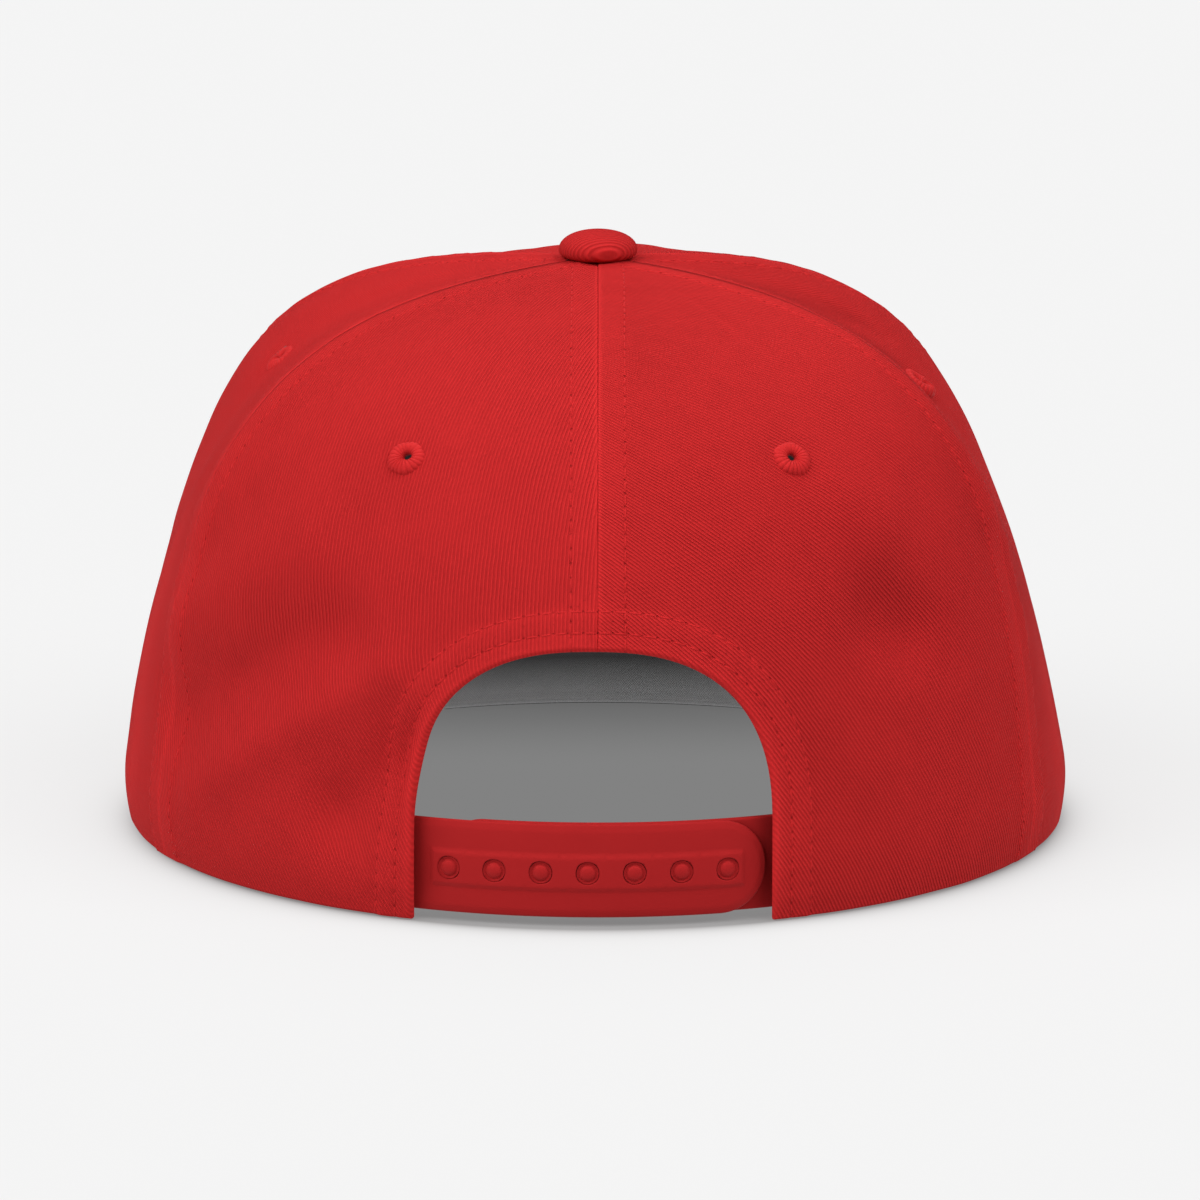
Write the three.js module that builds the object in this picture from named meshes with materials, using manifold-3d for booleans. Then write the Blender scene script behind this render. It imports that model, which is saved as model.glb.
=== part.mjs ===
// A flat bill cap: a stiff, high crown of five cloth panels, an arch cut out of its back over a snap strap,
// and a flat brim in front. Millimetres, +Z up. The brim points along -Y and the wearer's left is +X.
// Azimuths are in degrees about the crown's axis, from the back of the cap towards the wearer's left.

import * as THREE from 'three';
import { mergeVertices } from 'three/addons/utils/BufferGeometryUtils.js';
import Module from 'manifold-3d';

const wasm = await Module();
wasm.setup();

// Crown
const crownRadius = 97;
const crownHeight = 116;
const wall = 1.8;
const gap = 0.3;
const rimCurlDepth = 2.5;
const rimCurlHeight = 14;
const crownTopHole = 3;
const backSeam = 65.5;
const frontSeam = 121;
const panelRows = 16;
const rowCrowding = 1.35;
const degreesPerColumn = 5;

// Arch at the back: straight sides up to the spring, then half of a superellipse
const archWidth = 71;
const archSpring = 20;
const archTop = 55;
const archPower = 2.45;
const archCentreX = 1;
const archMargin = 10;

// Brim
const brimReach = 70;
const brimWidth = 184;
const brimThickness = 4.2;
const brimRound = 1.2;
const brimRoot = 28;
const brimPower = 2.65;
const brimInnerRadius = 93.6;
const brimEndAzimuth = 107;
const brimRampDegrees = 11;

// Snap straps: the outer one has the holes, the inner one the pegs
const strapBottom = 1.8;
const strapHeight = 18.8;
const strapThickness = 1.3;
const strapInset = 4.3;
const strapTabAzimuth = 27;
const holeStrapEnd = -20.9;
const pegStrapEnd = 20;
const snapCount = 7;
const snapFirstAzimuth = 18.3;
const snapLastAzimuth = -15.8;
const snapHeight = 11;
const snapHoleRadius = 2.2;
const pegRadius = 1.5;
const pegProud = 0.9;

// Sweatband
const bandHeight = 30;
const bandThickness = 1.2;
const bandLift = 0.5;
const bandClearance = 0.7;
const bandEndAzimuth = 24.5;
const bandTabRoom = 5;
const bandBrimRoom = 0.8;

// Button and eyelets
const buttonRadius = 8;
const buttonRise = 5.4;
const buttonShankRadius = 2.2;
const buttonShankLength = 4;
const eyeletRadius = 3.75;
const eyeletHoleRadius = 1;
const eyeletProud = 0.4;
const eyeletSteps = 14;

// The crown's meridian at each azimuth is a cubic curve from radius rim to the apex. Its lower handle leans
// in by lean at height rise, and its upper handle stands at radius shoulder, drop below the apex.
const crownSections = [
  { azimuth: 0, rim: 97, lean: 1, rise: 73.5, shoulder: 80, drop: 4 },
  { azimuth: 30, rim: 97, lean: 2.5, rise: 74.5, shoulder: 83, drop: 3.5 },
  { azimuth: 60, rim: 97.5, lean: 3.5, rise: 77.5, shoulder: 84.5, drop: 4.5 },
  { azimuth: 90, rim: 98.5, lean: 8, rise: 76.5, shoulder: 71.5, drop: 4 },
  { azimuth: 120, rim: 97.5, lean: 7, rise: 90, shoulder: 93.5, drop: 5.5 },
  { azimuth: 150, rim: 97, lean: 6.5, rise: 90, shoulder: 86.5, drop: 7 },
  { azimuth: 180, rim: 97, lean: 7.5, rise: 95, shoulder: 84, drop: 4.5 },
  { azimuth: 210, rim: 97, lean: 7, rise: 90, shoulder: 86, drop: 6.5 },
  { azimuth: 240, rim: 97, lean: 8, rise: 86, shoulder: 85.5, drop: 4 },
  { azimuth: 270, rim: 97.5, lean: 10, rise: 72, shoulder: 69, drop: 5 },
  { azimuth: 300, rim: 97, lean: 4, rise: 77.5, shoulder: 85, drop: 4 },
  { azimuth: 330, rim: 97, lean: 2.5, rise: 75, shoulder: 84, drop: 3.5 },
];

// Soft folds in the cloth: each runs straight from one azimuth and height to another. Width is its half
// width, and depth is how far it stands out, or in where it is negative.
const folds = [
  { fromAzimuth: 64, fromHeight: 50, toAzimuth: 42, toHeight: 70, width: 8, depth: 1.5 },
  { fromAzimuth: 62, fromHeight: 31, toAzimuth: 35, toHeight: 55, width: 8, depth: -2.4 },
  { fromAzimuth: 57, fromHeight: 17, toAzimuth: 35, toHeight: 40, width: 6, depth: 1 },
  { fromAzimuth: 34, fromHeight: 24, toAzimuth: 31, toHeight: 34, width: 8, depth: -1.4 },
  { fromAzimuth: -36.5, fromHeight: 79, toAzimuth: -40, toHeight: 76, width: 8, depth: 1.6 },
  { fromAzimuth: -38, fromHeight: 56, toAzimuth: -42, toHeight: 54, width: 8.5, depth: -2.8 },
];

const panels = [
  { name: 'back_panel_left', from: 0, to: backSeam },
  { name: 'side_panel_left', from: backSeam, to: frontSeam },
  { name: 'front_panel', from: frontSeam, to: 360 - frontSeam },
  { name: 'side_panel_right', from: 360 - frontSeam, to: 360 - backSeam },
  { name: 'back_panel_right', from: 360 - backSeam, to: 360 },
];

const eyelets = [
  { name: 'eyelet_back_left', panel: 'back_panel_left', azimuth: 30, height: 88.4 },
  { name: 'eyelet_side_left', panel: 'side_panel_left', azimuth: 94, height: 94.5 },
  { name: 'eyelet_side_right', panel: 'side_panel_right', azimuth: 268, height: 89.5 },
  { name: 'eyelet_back_right', panel: 'back_panel_right', azimuth: 330, height: 88.4 },
];

const twill = new THREE.MeshStandardMaterial({ name: 'red_twill', color: 0xc63233, roughness: 0.85 });
const thread = new THREE.MeshStandardMaterial({ name: 'red_thread', color: 0xbf3032, roughness: 0.7 });
const plastic = new THREE.MeshStandardMaterial({ name: 'red_plastic', color: 0xa3272a, roughness: 0.4 });
const band = new THREE.MeshStandardMaterial({ name: 'sweatband_cloth', color: 0x5c5c5e, roughness: 0.9 });

const { degToRad, lerp, smoothstep } = THREE.MathUtils;
const smallStep = 1e-3;

// Signed azimuth between -180 and 180.
function signed(azimuth) {
  return THREE.MathUtils.euclideanModulo(azimuth + 180, 360) - 180;
}

// The value of one column of the section table at any azimuth, on a smooth closed curve through the rows.
function sectionValue(azimuth, column) {
  const count = crownSections.length;
  const place = (THREE.MathUtils.euclideanModulo(azimuth, 360) / 360) * count;
  const row = Math.floor(place);
  const s = place - row;
  const value = (k) => crownSections[(row + k + count) % count][column];
  const slopeHere = (value(1) - value(-1)) / 2;
  const slopeNext = (value(2) - value(0)) / 2;
  return (2 * s ** 3 - 3 * s ** 2 + 1) * value(0) + (s ** 3 - 2 * s ** 2 + s) * slopeHere
    + (3 * s ** 2 - 2 * s ** 3) * value(1) + (s ** 3 - s ** 2) * slopeNext;
}

// How far the folds push the wall out at a place.
function foldDepth(azimuth, height) {
  const mmPerDegree = degToRad(crownRadius);
  let depth = 0;
  for (const fold of folds) {
    const start = new THREE.Vector2(fold.fromAzimuth * mmPerDegree, fold.fromHeight);
    const along = new THREE.Vector2(fold.toAzimuth * mmPerDegree, fold.toHeight).sub(start);
    const here = new THREE.Vector2(signed(azimuth) * mmPerDegree, height).sub(start);
    const share = THREE.MathUtils.clamp(here.dot(along) / along.lengthSq(), 0, 1);
    const distance = here.addScaledVector(along, -share).length();
    depth += fold.depth * Math.exp(-((distance / fold.width) ** 2));
  }
  return depth;
}

// A point of the crown's outer face, where t runs from 0 at the rim to 1 at the apex.
function crownPoint(azimuth, t) {
  const rim = sectionValue(azimuth, 'rim');
  const lower = 3 * t * (1 - t) ** 2;
  const upper = 3 * t ** 2 * (1 - t);
  const z = lower * sectionValue(azimuth, 'rise') + upper * (crownHeight - sectionValue(azimuth, 'drop'))
    + t ** 3 * crownHeight;
  const meridian = (1 - t) ** 3 * rim + lower * (rim - sectionValue(azimuth, 'lean'))
    + upper * sectionValue(azimuth, 'shoulder');
  const curl = rimCurlDepth * Math.max(0, 1 - z / rimCurlHeight) ** 2;
  const r = meridian - curl + foldDepth(azimuth, z);
  const a = degToRad(azimuth);
  return new THREE.Vector3(r * Math.sin(a), r * Math.cos(a), z);
}

// Outward normal of the crown's outer face.
function crownNormal(azimuth, t) {
  const round = crownPoint(azimuth + smallStep, t).sub(crownPoint(azimuth - smallStep, t));
  const rising = crownPoint(azimuth, t + smallStep).sub(crownPoint(azimuth, t - smallStep));
  return rising.cross(round).normalize();
}

// The same place, a depth further in along the normal.
function crownInside(azimuth, t, depth) {
  return crownPoint(azimuth, t).addScaledVector(crownNormal(azimuth, t), -depth);
}

// The t at which a meridian reaches a height.
function crownParameter(azimuth, height) {
  let low = 0;
  let high = 1;
  for (let k = 0; k < 30; k += 1) {
    const middle = (low + high) / 2;
    if (crownPoint(azimuth, middle).z < height) low = middle;
    else high = middle;
  }
  return (low + high) / 2;
}

// The rim stands on the floor at the sides and back, and on top of the brim in front.
function rimHeight(azimuth) {
  const start = brimEndAzimuth - 1 - brimRampDegrees;
  return (brimThickness + gap) * smoothstep(Math.abs(signed(azimuth)), start, start + brimRampDegrees);
}

// A closed wall over a grid. outer and inner give its two faces for u and v from 0 to 1, with u running
// clockwise seen from above and v running up.
function wallGeometry(outer, inner, columns, rows) {
  const positions = [];
  const indices = [];
  for (const face of [outer, inner]) {
    for (let i = 0; i <= columns; i += 1) {
      for (let j = 0; j <= rows; j += 1) positions.push(...face(i / columns, j / rows).toArray());
    }
  }
  const stride = rows + 1;
  const inside = (columns + 1) * stride;
  const quad = (a, b, c, d) => indices.push(a, b, c, a, c, d);
  for (let i = 0; i < columns; i += 1) {
    for (let j = 0; j < rows; j += 1) {
      const a = i * stride + j;
      const b = a + stride;
      quad(a, a + 1, b + 1, b);
      quad(inside + a, inside + b, inside + b + 1, inside + a + 1);
    }
    const low = i * stride;
    const high = low + rows;
    quad(low, low + stride, inside + low + stride, inside + low);
    quad(high, inside + high, inside + high + stride, high + stride);
  }
  for (let j = 0; j < rows; j += 1) {
    const first = j;
    const last = columns * stride + j;
    quad(first, inside + first, inside + first + 1, first + 1);
    quad(last, last + 1, inside + last + 1, inside + last);
  }
  const geometry = new THREE.BufferGeometry();
  geometry.setAttribute('position', new THREE.Float32BufferAttribute(positions, 3));
  geometry.setIndex(indices);
  geometry.computeVertexNormals();
  return geometry;
}

// A closed geometry as a solid for joining and cutting.
function toSolid(geometry) {
  const bare = geometry.clone();
  bare.deleteAttribute('normal');
  bare.deleteAttribute('uv');
  const merged = mergeVertices(bare, smallStep);
  const corners = merged.index.array;
  const kept = [];
  for (let k = 0; k < corners.length; k += 3) {
    const [a, b, c] = [corners[k], corners[k + 1], corners[k + 2]];
    if (a !== b && b !== c && a !== c) kept.push(a, b, c);
  }
  const vertProperties = new Float32Array(merged.attributes.position.array);
  return new wasm.Manifold(new wasm.Mesh({ numProp: 3, vertProperties, triVerts: new Uint32Array(kept) }));
}

function toGeometry(solid) {
  const { vertProperties, triVerts } = solid.getMesh();
  const geometry = new THREE.BufferGeometry();
  geometry.setAttribute('position', new THREE.BufferAttribute(vertProperties, 3));
  geometry.setIndex(new THREE.BufferAttribute(triVerts, 1));
  geometry.computeVertexNormals();
  return geometry;
}

// Turns a geometry made along +Y to lie along a direction, and puts its base at a point.
function aim(geometry, base, direction) {
  const turn = new THREE.Quaternion().setFromUnitVectors(new THREE.Vector3(0, 1, 0), direction);
  return geometry.applyQuaternion(turn).translate(base.x, base.y, base.z);
}

// A turned piece whose profile is a list of [radius, height].
function turned(profile, steps) {
  return new THREE.LatheGeometry(profile.map(([r, y]) => new THREE.Vector2(r, y)), steps);
}

// The space under the arch, as a block through the back of the crown.
function archBlock() {
  const half = archWidth / 2;
  const rise = archTop - archSpring;
  const steps = 24;
  const shape = new THREE.Shape();
  shape.moveTo(half, -archMargin);
  for (let k = 0; k <= steps; k += 1) {
    const angle = (Math.PI * k) / steps;
    const c = Math.cos(angle);
    const x = half * Math.sign(c) * Math.abs(c) ** (2 / archPower);
    shape.lineTo(x, archSpring + rise * Math.sin(angle) ** (2 / archPower));
  }
  shape.lineTo(-half, -archMargin);
  const block = new THREE.ExtrudeGeometry(shape, { depth: crownRadius, bevelEnabled: false });
  return block.rotateX(Math.PI / 2).translate(archCentreX, crownRadius + archMargin, 0);
}

// One cloth panel between two seams, from the rim up to the hole under the button. Its rows crowd together
// towards the rim, where the wall curls in.
function panelGeometry({ from, to }) {
  const columns = Math.round((to - from) / degreesPerColumn);
  const place = (u, v) => {
    const middle = lerp(from, to, u);
    const low = crownParameter(middle, rimHeight(middle));
    const high = 1 - crownTopHole / (3 * sectionValue(middle, 'shoulder'));
    const t = lerp(low, high, v ** rowCrowding);
    const flat = crownPoint(middle, t);
    const seamGap = THREE.MathUtils.radToDeg(gap / 2 / Math.hypot(flat.x, flat.y));
    return [lerp(from + seamGap, to - seamGap, u), t];
  };
  const outer = (u, v) => crownPoint(...place(u, v));
  const inner = (u, v) => crownInside(...place(u, v), wall);
  return wallGeometry(outer, inner, columns, panelRows);
}

// Where an eyelet sits on the crown, and which way it faces.
function eyeletPlace({ azimuth, height }) {
  const t = crownParameter(azimuth, height);
  return { point: crownPoint(azimuth, t), normal: crownNormal(azimuth, t) };
}

// A panel with its arch and its eyelet hole cut out.
function cutPanelGeometry(panel) {
  let solid = toSolid(panelGeometry(panel));
  if (panel.name.startsWith('back')) solid = solid.subtract(toSolid(archBlock()));
  for (const eyelet of eyelets.filter((one) => one.panel === panel.name)) {
    const { point, normal } = eyeletPlace(eyelet);
    const radius = eyeletRadius + gap;
    const drill = new THREE.CylinderGeometry(radius, radius, 6 * wall, eyeletSteps);
    solid = solid.subtract(toSolid(aim(drill, point, normal)));
  }
  return toGeometry(solid);
}

// A stitched eyelet: a rounded ring that fills the panel's hole and stands a little proud on both sides.
function eyeletGeometry(eyelet) {
  const { point, normal } = eyeletPlace(eyelet);
  const top = eyeletProud;
  const bottom = -wall - eyeletProud;
  const corner = 0.6;
  const profile = [
    [eyeletHoleRadius, bottom + corner], [eyeletHoleRadius + corner, bottom],
    [eyeletRadius - corner, bottom], [eyeletRadius, bottom + corner],
    [eyeletRadius, top - corner], [eyeletRadius - corner, top],
    [eyeletHoleRadius + corner, top], [eyeletHoleRadius, top - corner],
    [eyeletHoleRadius, bottom + corner],
  ];
  return aim(turned(profile, eyeletSteps), point, normal);
}

// The covered button: a low dome on a shank that goes down through the crown.
function buttonGeometry() {
  const under = crownHeight + gap / 2;
  const edge = 0.9;
  const steps = 7;
  const profile = [[0, crownHeight - buttonShankLength], [buttonShankRadius, crownHeight - buttonShankLength],
    [buttonShankRadius, under], [buttonRadius - edge, under], [buttonRadius, under + edge]];
  for (let k = 1; k <= steps; k += 1) {
    const angle = (Math.PI / 2) * (k / steps);
    profile.push([k === steps ? 0 : buttonRadius * Math.cos(angle),
      under + edge + (buttonRise - edge) * Math.sin(angle)]);
  }
  return turned(profile, 24).rotateX(Math.PI / 2);
}

// The strap's path: a point at an azimuth and height, a depth inside the outer strap's outer face.
function strapPoint(azimuth, height, depth) {
  const a = degToRad(azimuth);
  const r = crownRadius - strapInset - depth;
  return new THREE.Vector3(r * Math.sin(a), r * Math.cos(a), height);
}

// One snap strap, bent round the back, from its sewn tab to its rounded end. layer is 0 outside, 1 inside.
function strapGeometry(tab, end, layer) {
  const columns = 30;
  const depth = layer * (strapThickness + gap);
  const half = strapHeight / 2;
  const mmPerDegree = degToRad(crownRadius - strapInset);
  const place = (u) => {
    // The columns crowd together towards the rounded end.
    const azimuth = lerp(tab, end, 1 - (1 - u) ** 1.4);
    const left = Math.abs(end - azimuth) * mmPerDegree;
    const inRound = Math.max(0, half - left - gap);
    return [azimuth, Math.sqrt(half ** 2 - inRound ** 2)];
  };
  const face = (extra) => (u, v) => {
    const [azimuth, reach] = place(tab < end ? u : 1 - u);
    return strapPoint(azimuth, strapBottom + half + reach * (2 * v - 1), depth + extra);
  };
  return wallGeometry(face(0), face(strapThickness), columns, 2);
}

// Calls work(point, direction) for each snap in the row, with the point on the outer strap's outer face.
function forEachSnap(work) {
  for (let k = 0; k < snapCount; k += 1) {
    const azimuth = lerp(snapFirstAzimuth, snapLastAzimuth, k / (snapCount - 1));
    const point = strapPoint(azimuth, snapHeight, 0);
    work(point, new THREE.Vector3(Math.sin(degToRad(azimuth)), Math.cos(degToRad(azimuth)), 0));
  }
}

function holeStrapGeometry() {
  let solid = toSolid(strapGeometry(strapTabAzimuth, holeStrapEnd, 0));
  forEachSnap((point, direction) => {
    const drill = new THREE.CylinderGeometry(snapHoleRadius, snapHoleRadius, 4 * strapThickness, 16);
    solid = solid.subtract(toSolid(aim(drill, point, direction)));
  });
  return toGeometry(solid);
}

function pegStrapGeometry() {
  let solid = toSolid(strapGeometry(-strapTabAzimuth, pegStrapEnd, 1));
  const depth = strapThickness + gap + strapThickness / 2;
  const length = depth + pegProud;
  const profile = [[0, 0], [pegRadius, 0], [pegRadius, length - pegRadius / 2],
    [pegRadius * 0.8, length - pegRadius / 6], [0, length]];
  forEachSnap((point, direction) => {
    const base = point.clone().addScaledVector(direction, -depth);
    solid = solid.add(toSolid(aim(turned(profile, 12), base, direction)));
  });
  return toGeometry(solid);
}

// The sweatband follows the inside of the rim from one side of the arch round to the other. It steps in where
// it passes over the straps' sewn tabs, and again where it hangs down in front of the brim's inner edge.
function sweatbandGeometry() {
  const from = bandEndAzimuth;
  const to = 360 - bandEndAzimuth;
  const face = (extra) => (u, v) => {
    const azimuth = lerp(from, to, u);
    const side = Math.abs(signed(azimuth));
    const tabRoom = bandTabRoom * (1 - smoothstep(side, strapTabAzimuth + 2, strapTabAzimuth + 11));
    const brimRoom = bandBrimRoom * smoothstep(side, brimEndAzimuth - brimRampDegrees, brimEndAzimuth);
    const t = crownParameter(azimuth, bandLift + (rimHeight(azimuth) + bandHeight) * v);
    return crownInside(azimuth, t, wall + bandClearance + tabRoom + brimRoom + extra);
  };
  return wallGeometry(face(0), face(bandThickness), 72, 4);
}

// The flat brim: a superellipse in front, an arc under the crown's wall behind, with rounded edges.
function brimGeometry() {
  const half = brimWidth / 2;
  const reach = crownRadius + brimReach - brimRoot;
  const outerSteps = 44;
  const innerSteps = 36;
  const shape = new THREE.Shape();
  const points = [];
  for (let k = 0; k <= outerSteps; k += 1) {
    const angle = (Math.PI * k) / outerSteps;
    const c = Math.cos(angle);
    points.push([half * Math.sign(c) * Math.abs(c) ** (2 / brimPower),
      -brimRoot - reach * Math.sin(angle) ** (2 / brimPower)]);
  }
  for (let k = 0; k <= innerSteps; k += 1) {
    const a = degToRad(lerp(360 - brimEndAzimuth, brimEndAzimuth, k / innerSteps));
    points.push([brimInnerRadius * Math.sin(a), brimInnerRadius * Math.cos(a)]);
  }
  points.forEach(([x, y], k) => (k === 0 ? shape.moveTo(x, y) : shape.lineTo(x, y)));
  return new THREE.ExtrudeGeometry(shape, {
    depth: brimThickness - 2 * brimRound,
    bevelThickness: brimRound,
    bevelSize: brimRound,
    bevelOffset: -brimRound,
    bevelSegments: 3,
  }).translate(0, 0, brimRound);
}

const cap = new THREE.Group();

function addPiece(name, geometry, material) {
  const mesh = new THREE.Mesh(geometry, material.clone());
  mesh.name = name;
  cap.add(mesh);
}

for (const panel of panels) addPiece(panel.name, cutPanelGeometry(panel), twill);
for (const eyelet of eyelets) addPiece(eyelet.name, eyeletGeometry(eyelet), thread);
addPiece('button', buttonGeometry(), twill);
addPiece('strap_holes', holeStrapGeometry(), plastic);
addPiece('strap_pegs', pegStrapGeometry(), plastic);
addPiece('sweatband', sweatbandGeometry(), band);
addPiece('brim', brimGeometry(), twill);

// The origin is at the bottom centre of the cap's box, so the cap stands on the plane z = 0.
const box = new THREE.Box3().setFromObject(cap);
const centre = box.getCenter(new THREE.Vector3());
cap.position.set(-centre.x, -centre.y, -box.min.z);

export default cap;
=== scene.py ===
"""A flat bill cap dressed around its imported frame: five twill panels with sewn seams, an arch with its hem,
a covered button, stitched eyelets, two plastic snap straps, a sweatband and a flat brim, on a pale floor.

Shapes are worked out in millimetres about the crown's axis, with the rim's floor at height 0, and
new_object puts them into the frame in metres. Azimuths are in degrees from the back of the cap towards the
wearer's left.
"""

import bpy
import numpy as np
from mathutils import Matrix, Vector


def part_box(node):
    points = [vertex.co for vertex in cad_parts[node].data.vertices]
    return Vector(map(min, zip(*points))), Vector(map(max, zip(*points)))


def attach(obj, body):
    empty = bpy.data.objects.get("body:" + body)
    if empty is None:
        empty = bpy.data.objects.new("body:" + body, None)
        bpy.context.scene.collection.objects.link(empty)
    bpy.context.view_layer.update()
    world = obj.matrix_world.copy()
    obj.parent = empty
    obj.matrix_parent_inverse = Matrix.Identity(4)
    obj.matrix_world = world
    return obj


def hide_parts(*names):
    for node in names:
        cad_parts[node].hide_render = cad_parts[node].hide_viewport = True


bl_info = {
    "name": "Flat bill cap",
    "version": (1, 0, 0),
    "blender": (4, 5, 0),
    "location": "3D View > Sidebar > Cap",
    "description": "Makes a stiff twill cap with a flat brim and a plastic snap strap",
    "category": "Add Mesh",
}

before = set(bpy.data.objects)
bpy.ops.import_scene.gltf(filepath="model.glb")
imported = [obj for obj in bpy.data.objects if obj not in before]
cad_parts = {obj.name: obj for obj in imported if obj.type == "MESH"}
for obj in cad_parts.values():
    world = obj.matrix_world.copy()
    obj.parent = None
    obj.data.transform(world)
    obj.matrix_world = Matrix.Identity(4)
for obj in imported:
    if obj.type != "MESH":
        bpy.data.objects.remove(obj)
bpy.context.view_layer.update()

MM = 0.001

# The crown's axis runs through the button. Its nominal radius turns degrees into millimetres of cloth.
button_low, button_high = (np.array(corner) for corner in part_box("button"))
AXIS = np.array([*((button_low + button_high) / 2)[:2], 0.0])
CROWN_HEIGHT = 116.0
CROWN_RADIUS = 97.0
MM_PER_DEGREE = np.radians(CROWN_RADIUS)

# The crown's meridian is a cubic curve from radius rim to the apex. Its lower handle leans in by lean at
# height rise, and its upper handle stands at radius shoulder, drop below the apex. Rows are 30 degrees apart.
SECTIONS = (
    dict(azimuth=0, rim=97, lean=1, rise=73.5, shoulder=80, drop=4),
    dict(azimuth=30, rim=97, lean=2.5, rise=74.5, shoulder=83, drop=3.5),
    dict(azimuth=60, rim=97.5, lean=3.5, rise=77.5, shoulder=84.5, drop=4.5),
    dict(azimuth=90, rim=98.5, lean=8, rise=76.5, shoulder=71.5, drop=4),
    dict(azimuth=120, rim=97.5, lean=7, rise=90, shoulder=93.5, drop=5.5),
    dict(azimuth=150, rim=97, lean=6.5, rise=90, shoulder=86.5, drop=7),
    dict(azimuth=180, rim=97, lean=7.5, rise=95, shoulder=84, drop=4.5),
    dict(azimuth=210, rim=97, lean=7, rise=90, shoulder=86, drop=6.5),
    dict(azimuth=240, rim=97, lean=8, rise=86, shoulder=85.5, drop=4),
    dict(azimuth=270, rim=97.5, lean=10, rise=72, shoulder=69, drop=5),
    dict(azimuth=300, rim=97, lean=4, rise=77.5, shoulder=85, drop=4),
    dict(azimuth=330, rim=97, lean=2.5, rise=75, shoulder=84, drop=3.5),
)

# The crown curls in at the rim, and its panels stop at a small hole under the button.
CURL_DEPTH = 2.5
CURL_HEIGHT = 14.0
TOP_HOLE = 3.0

# Folds: the large soft ones first, then the puffed cloth beside the side seams, then the sharper ones. Each
# runs straight from one azimuth and height to another. Width is its half width, and depth is how far it
# stands out, or in where it is negative. Near the arch they fade out.
FOLDS = (
    dict(start=(64, 50), end=(42, 70), width=8, depth=1.5),
    dict(start=(62, 31), end=(35, 55), width=8, depth=-2.6),
    dict(start=(57, 17), end=(27, 49), width=5, depth=1.1),
    dict(start=(32, 20), end=(24, 32), width=9, depth=-3.4),
    dict(start=(-36.5, 79), end=(-40, 76), width=8, depth=1.7),
    dict(start=(-38, 56), end=(-42, 54), width=8.5, depth=-3.1),
    dict(start=(-32, 38), end=(-44, 36), width=12, depth=-0.9),
    dict(start=(65.5, 70), end=(65.5, 112), width=7, depth=1.3),
    dict(start=(75, 76), end=(75, 106), width=7, depth=-0.9),
    dict(start=(-65.5, 72), end=(-65.5, 112), width=7, depth=1.5),
    dict(start=(-75, 80), end=(-75, 108), width=7, depth=-1.2),
    dict(start=(-67, 106), end=(-76, 97), width=4.5, depth=-0.4),
    dict(start=(-36, 111), end=(-38, 105), width=2.6, depth=-0.5),
    dict(start=(60, 76), end=(58, 108), width=3.5, depth=0.6),
    dict(start=(-68, 64), end=(-69, 46), width=3.5, depth=0.6),
)
FOLD_FADE_AT_ARCH = 1.13

# Lines of painted light and painted shade on the twill: painted shade where their tone is negative and
# painted light where it is positive. The tone is what each adds to the value that tints the twill.
PAINTED_LIGHT_AND_SHADE = (
    dict(start=(-82, 111), end=(-99, 103), width=4.5, tone=-2.2),
    dict(start=(-73, 102.5), end=(-90, 95), width=4.2, tone=-2.9),
    dict(start=(-94, 100), end=(-100, 97), width=2.5, tone=0.8),
    dict(start=(-78, 62), end=(-80, 92), width=13, tone=-1.5),
    dict(start=(80, 66), end=(80, 92), width=12, tone=-0.9),
    dict(start=(-62, 76), end=(-67, 92), width=12, tone=-1.6),
    dict(start=(79, 10), end=(79, 60), width=8, tone=2.2),
    dict(start=(-80, 4), end=(-80, 30), width=8, tone=2.4),
    dict(start=(-37, 66), end=(-41, 60), width=7, tone=-1.2),
    dict(start=(-27, 34), end=(-32, 24), width=7, tone=-0.9),
    dict(start=(-36, 44), end=(-50, 42), width=4, tone=0.7),
    dict(start=(33, 84), end=(46, 66), width=10, tone=-0.5),
)

# Painted shade in a band beside the centre seam, on the wearer's left: its tone, distance, half width and
# heights.
SEAM_SHADE_TONE = -0.9
SEAM_SHADE_AWAY = 9.0
SEAM_SHADE_WIDTH = 5.0
SEAM_SHADE_START = 55.0
SEAM_SHADE_FULL = 75.0

# Slight waves of the cloth, each with its length, its turn in degrees and its height. They fade out below
# the button.
WAVES = (
    dict(length=47, turn=20, height=0.1),
    dict(length=31, turn=75, height=0.08),
    dict(length=23, turn=130, height=0.06),
    dict(length=17, turn=160, height=0.035),
    dict(length=12.5, turn=48, height=0.025),
)
WAVE_BEND = 5.0
WAVES_END = 118.0
WAVES_FADE = 12.0

# Panels, each between two seams, with the twill's lean from the meridian, in degrees towards the wearer's
# right. tilt_low and tilt_high are the lean near the rim and above it, and fan is how fast it changes
# across the panel.
BACK_SEAM = 65.5
FRONT_SEAM = 121.0
PANELS = (
    dict(node="back_panel_left", low=0, high=BACK_SEAM, tilt_low=-27, tilt_high=-5, fan=0.0016),
    dict(node="side_panel_left", low=BACK_SEAM, high=FRONT_SEAM, tilt_low=-30, tilt_high=-20, fan=0),
    dict(node="front_panel", low=FRONT_SEAM, high=360 - FRONT_SEAM, tilt_low=-35, tilt_high=-35, fan=0),
    dict(node="side_panel_right", low=360 - FRONT_SEAM, high=360 - BACK_SEAM, tilt_low=-36, tilt_high=-38,
         fan=0),
    dict(node="back_panel_right", low=360 - BACK_SEAM, high=360, tilt_low=-35, tilt_high=-44, fan=-0.0028),
)
TILT_TURN_HEIGHT = 50.0
TILT_TURN_WIDTH = 8.0
FAN_HEIGHT = 70.0
RIB_TURN_ON_BUTTON = -14.0
RIB_TURN_ON_BRIM = 38.0

# Nominal lengths of the surfaces that the grids share out.
PANEL_LENGTH = 190.0
BACK_PANEL_LENGTH = 120.0
BACK_PANEL_WIDTH = 105.0
BAND_LENGTH = 510.0

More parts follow.
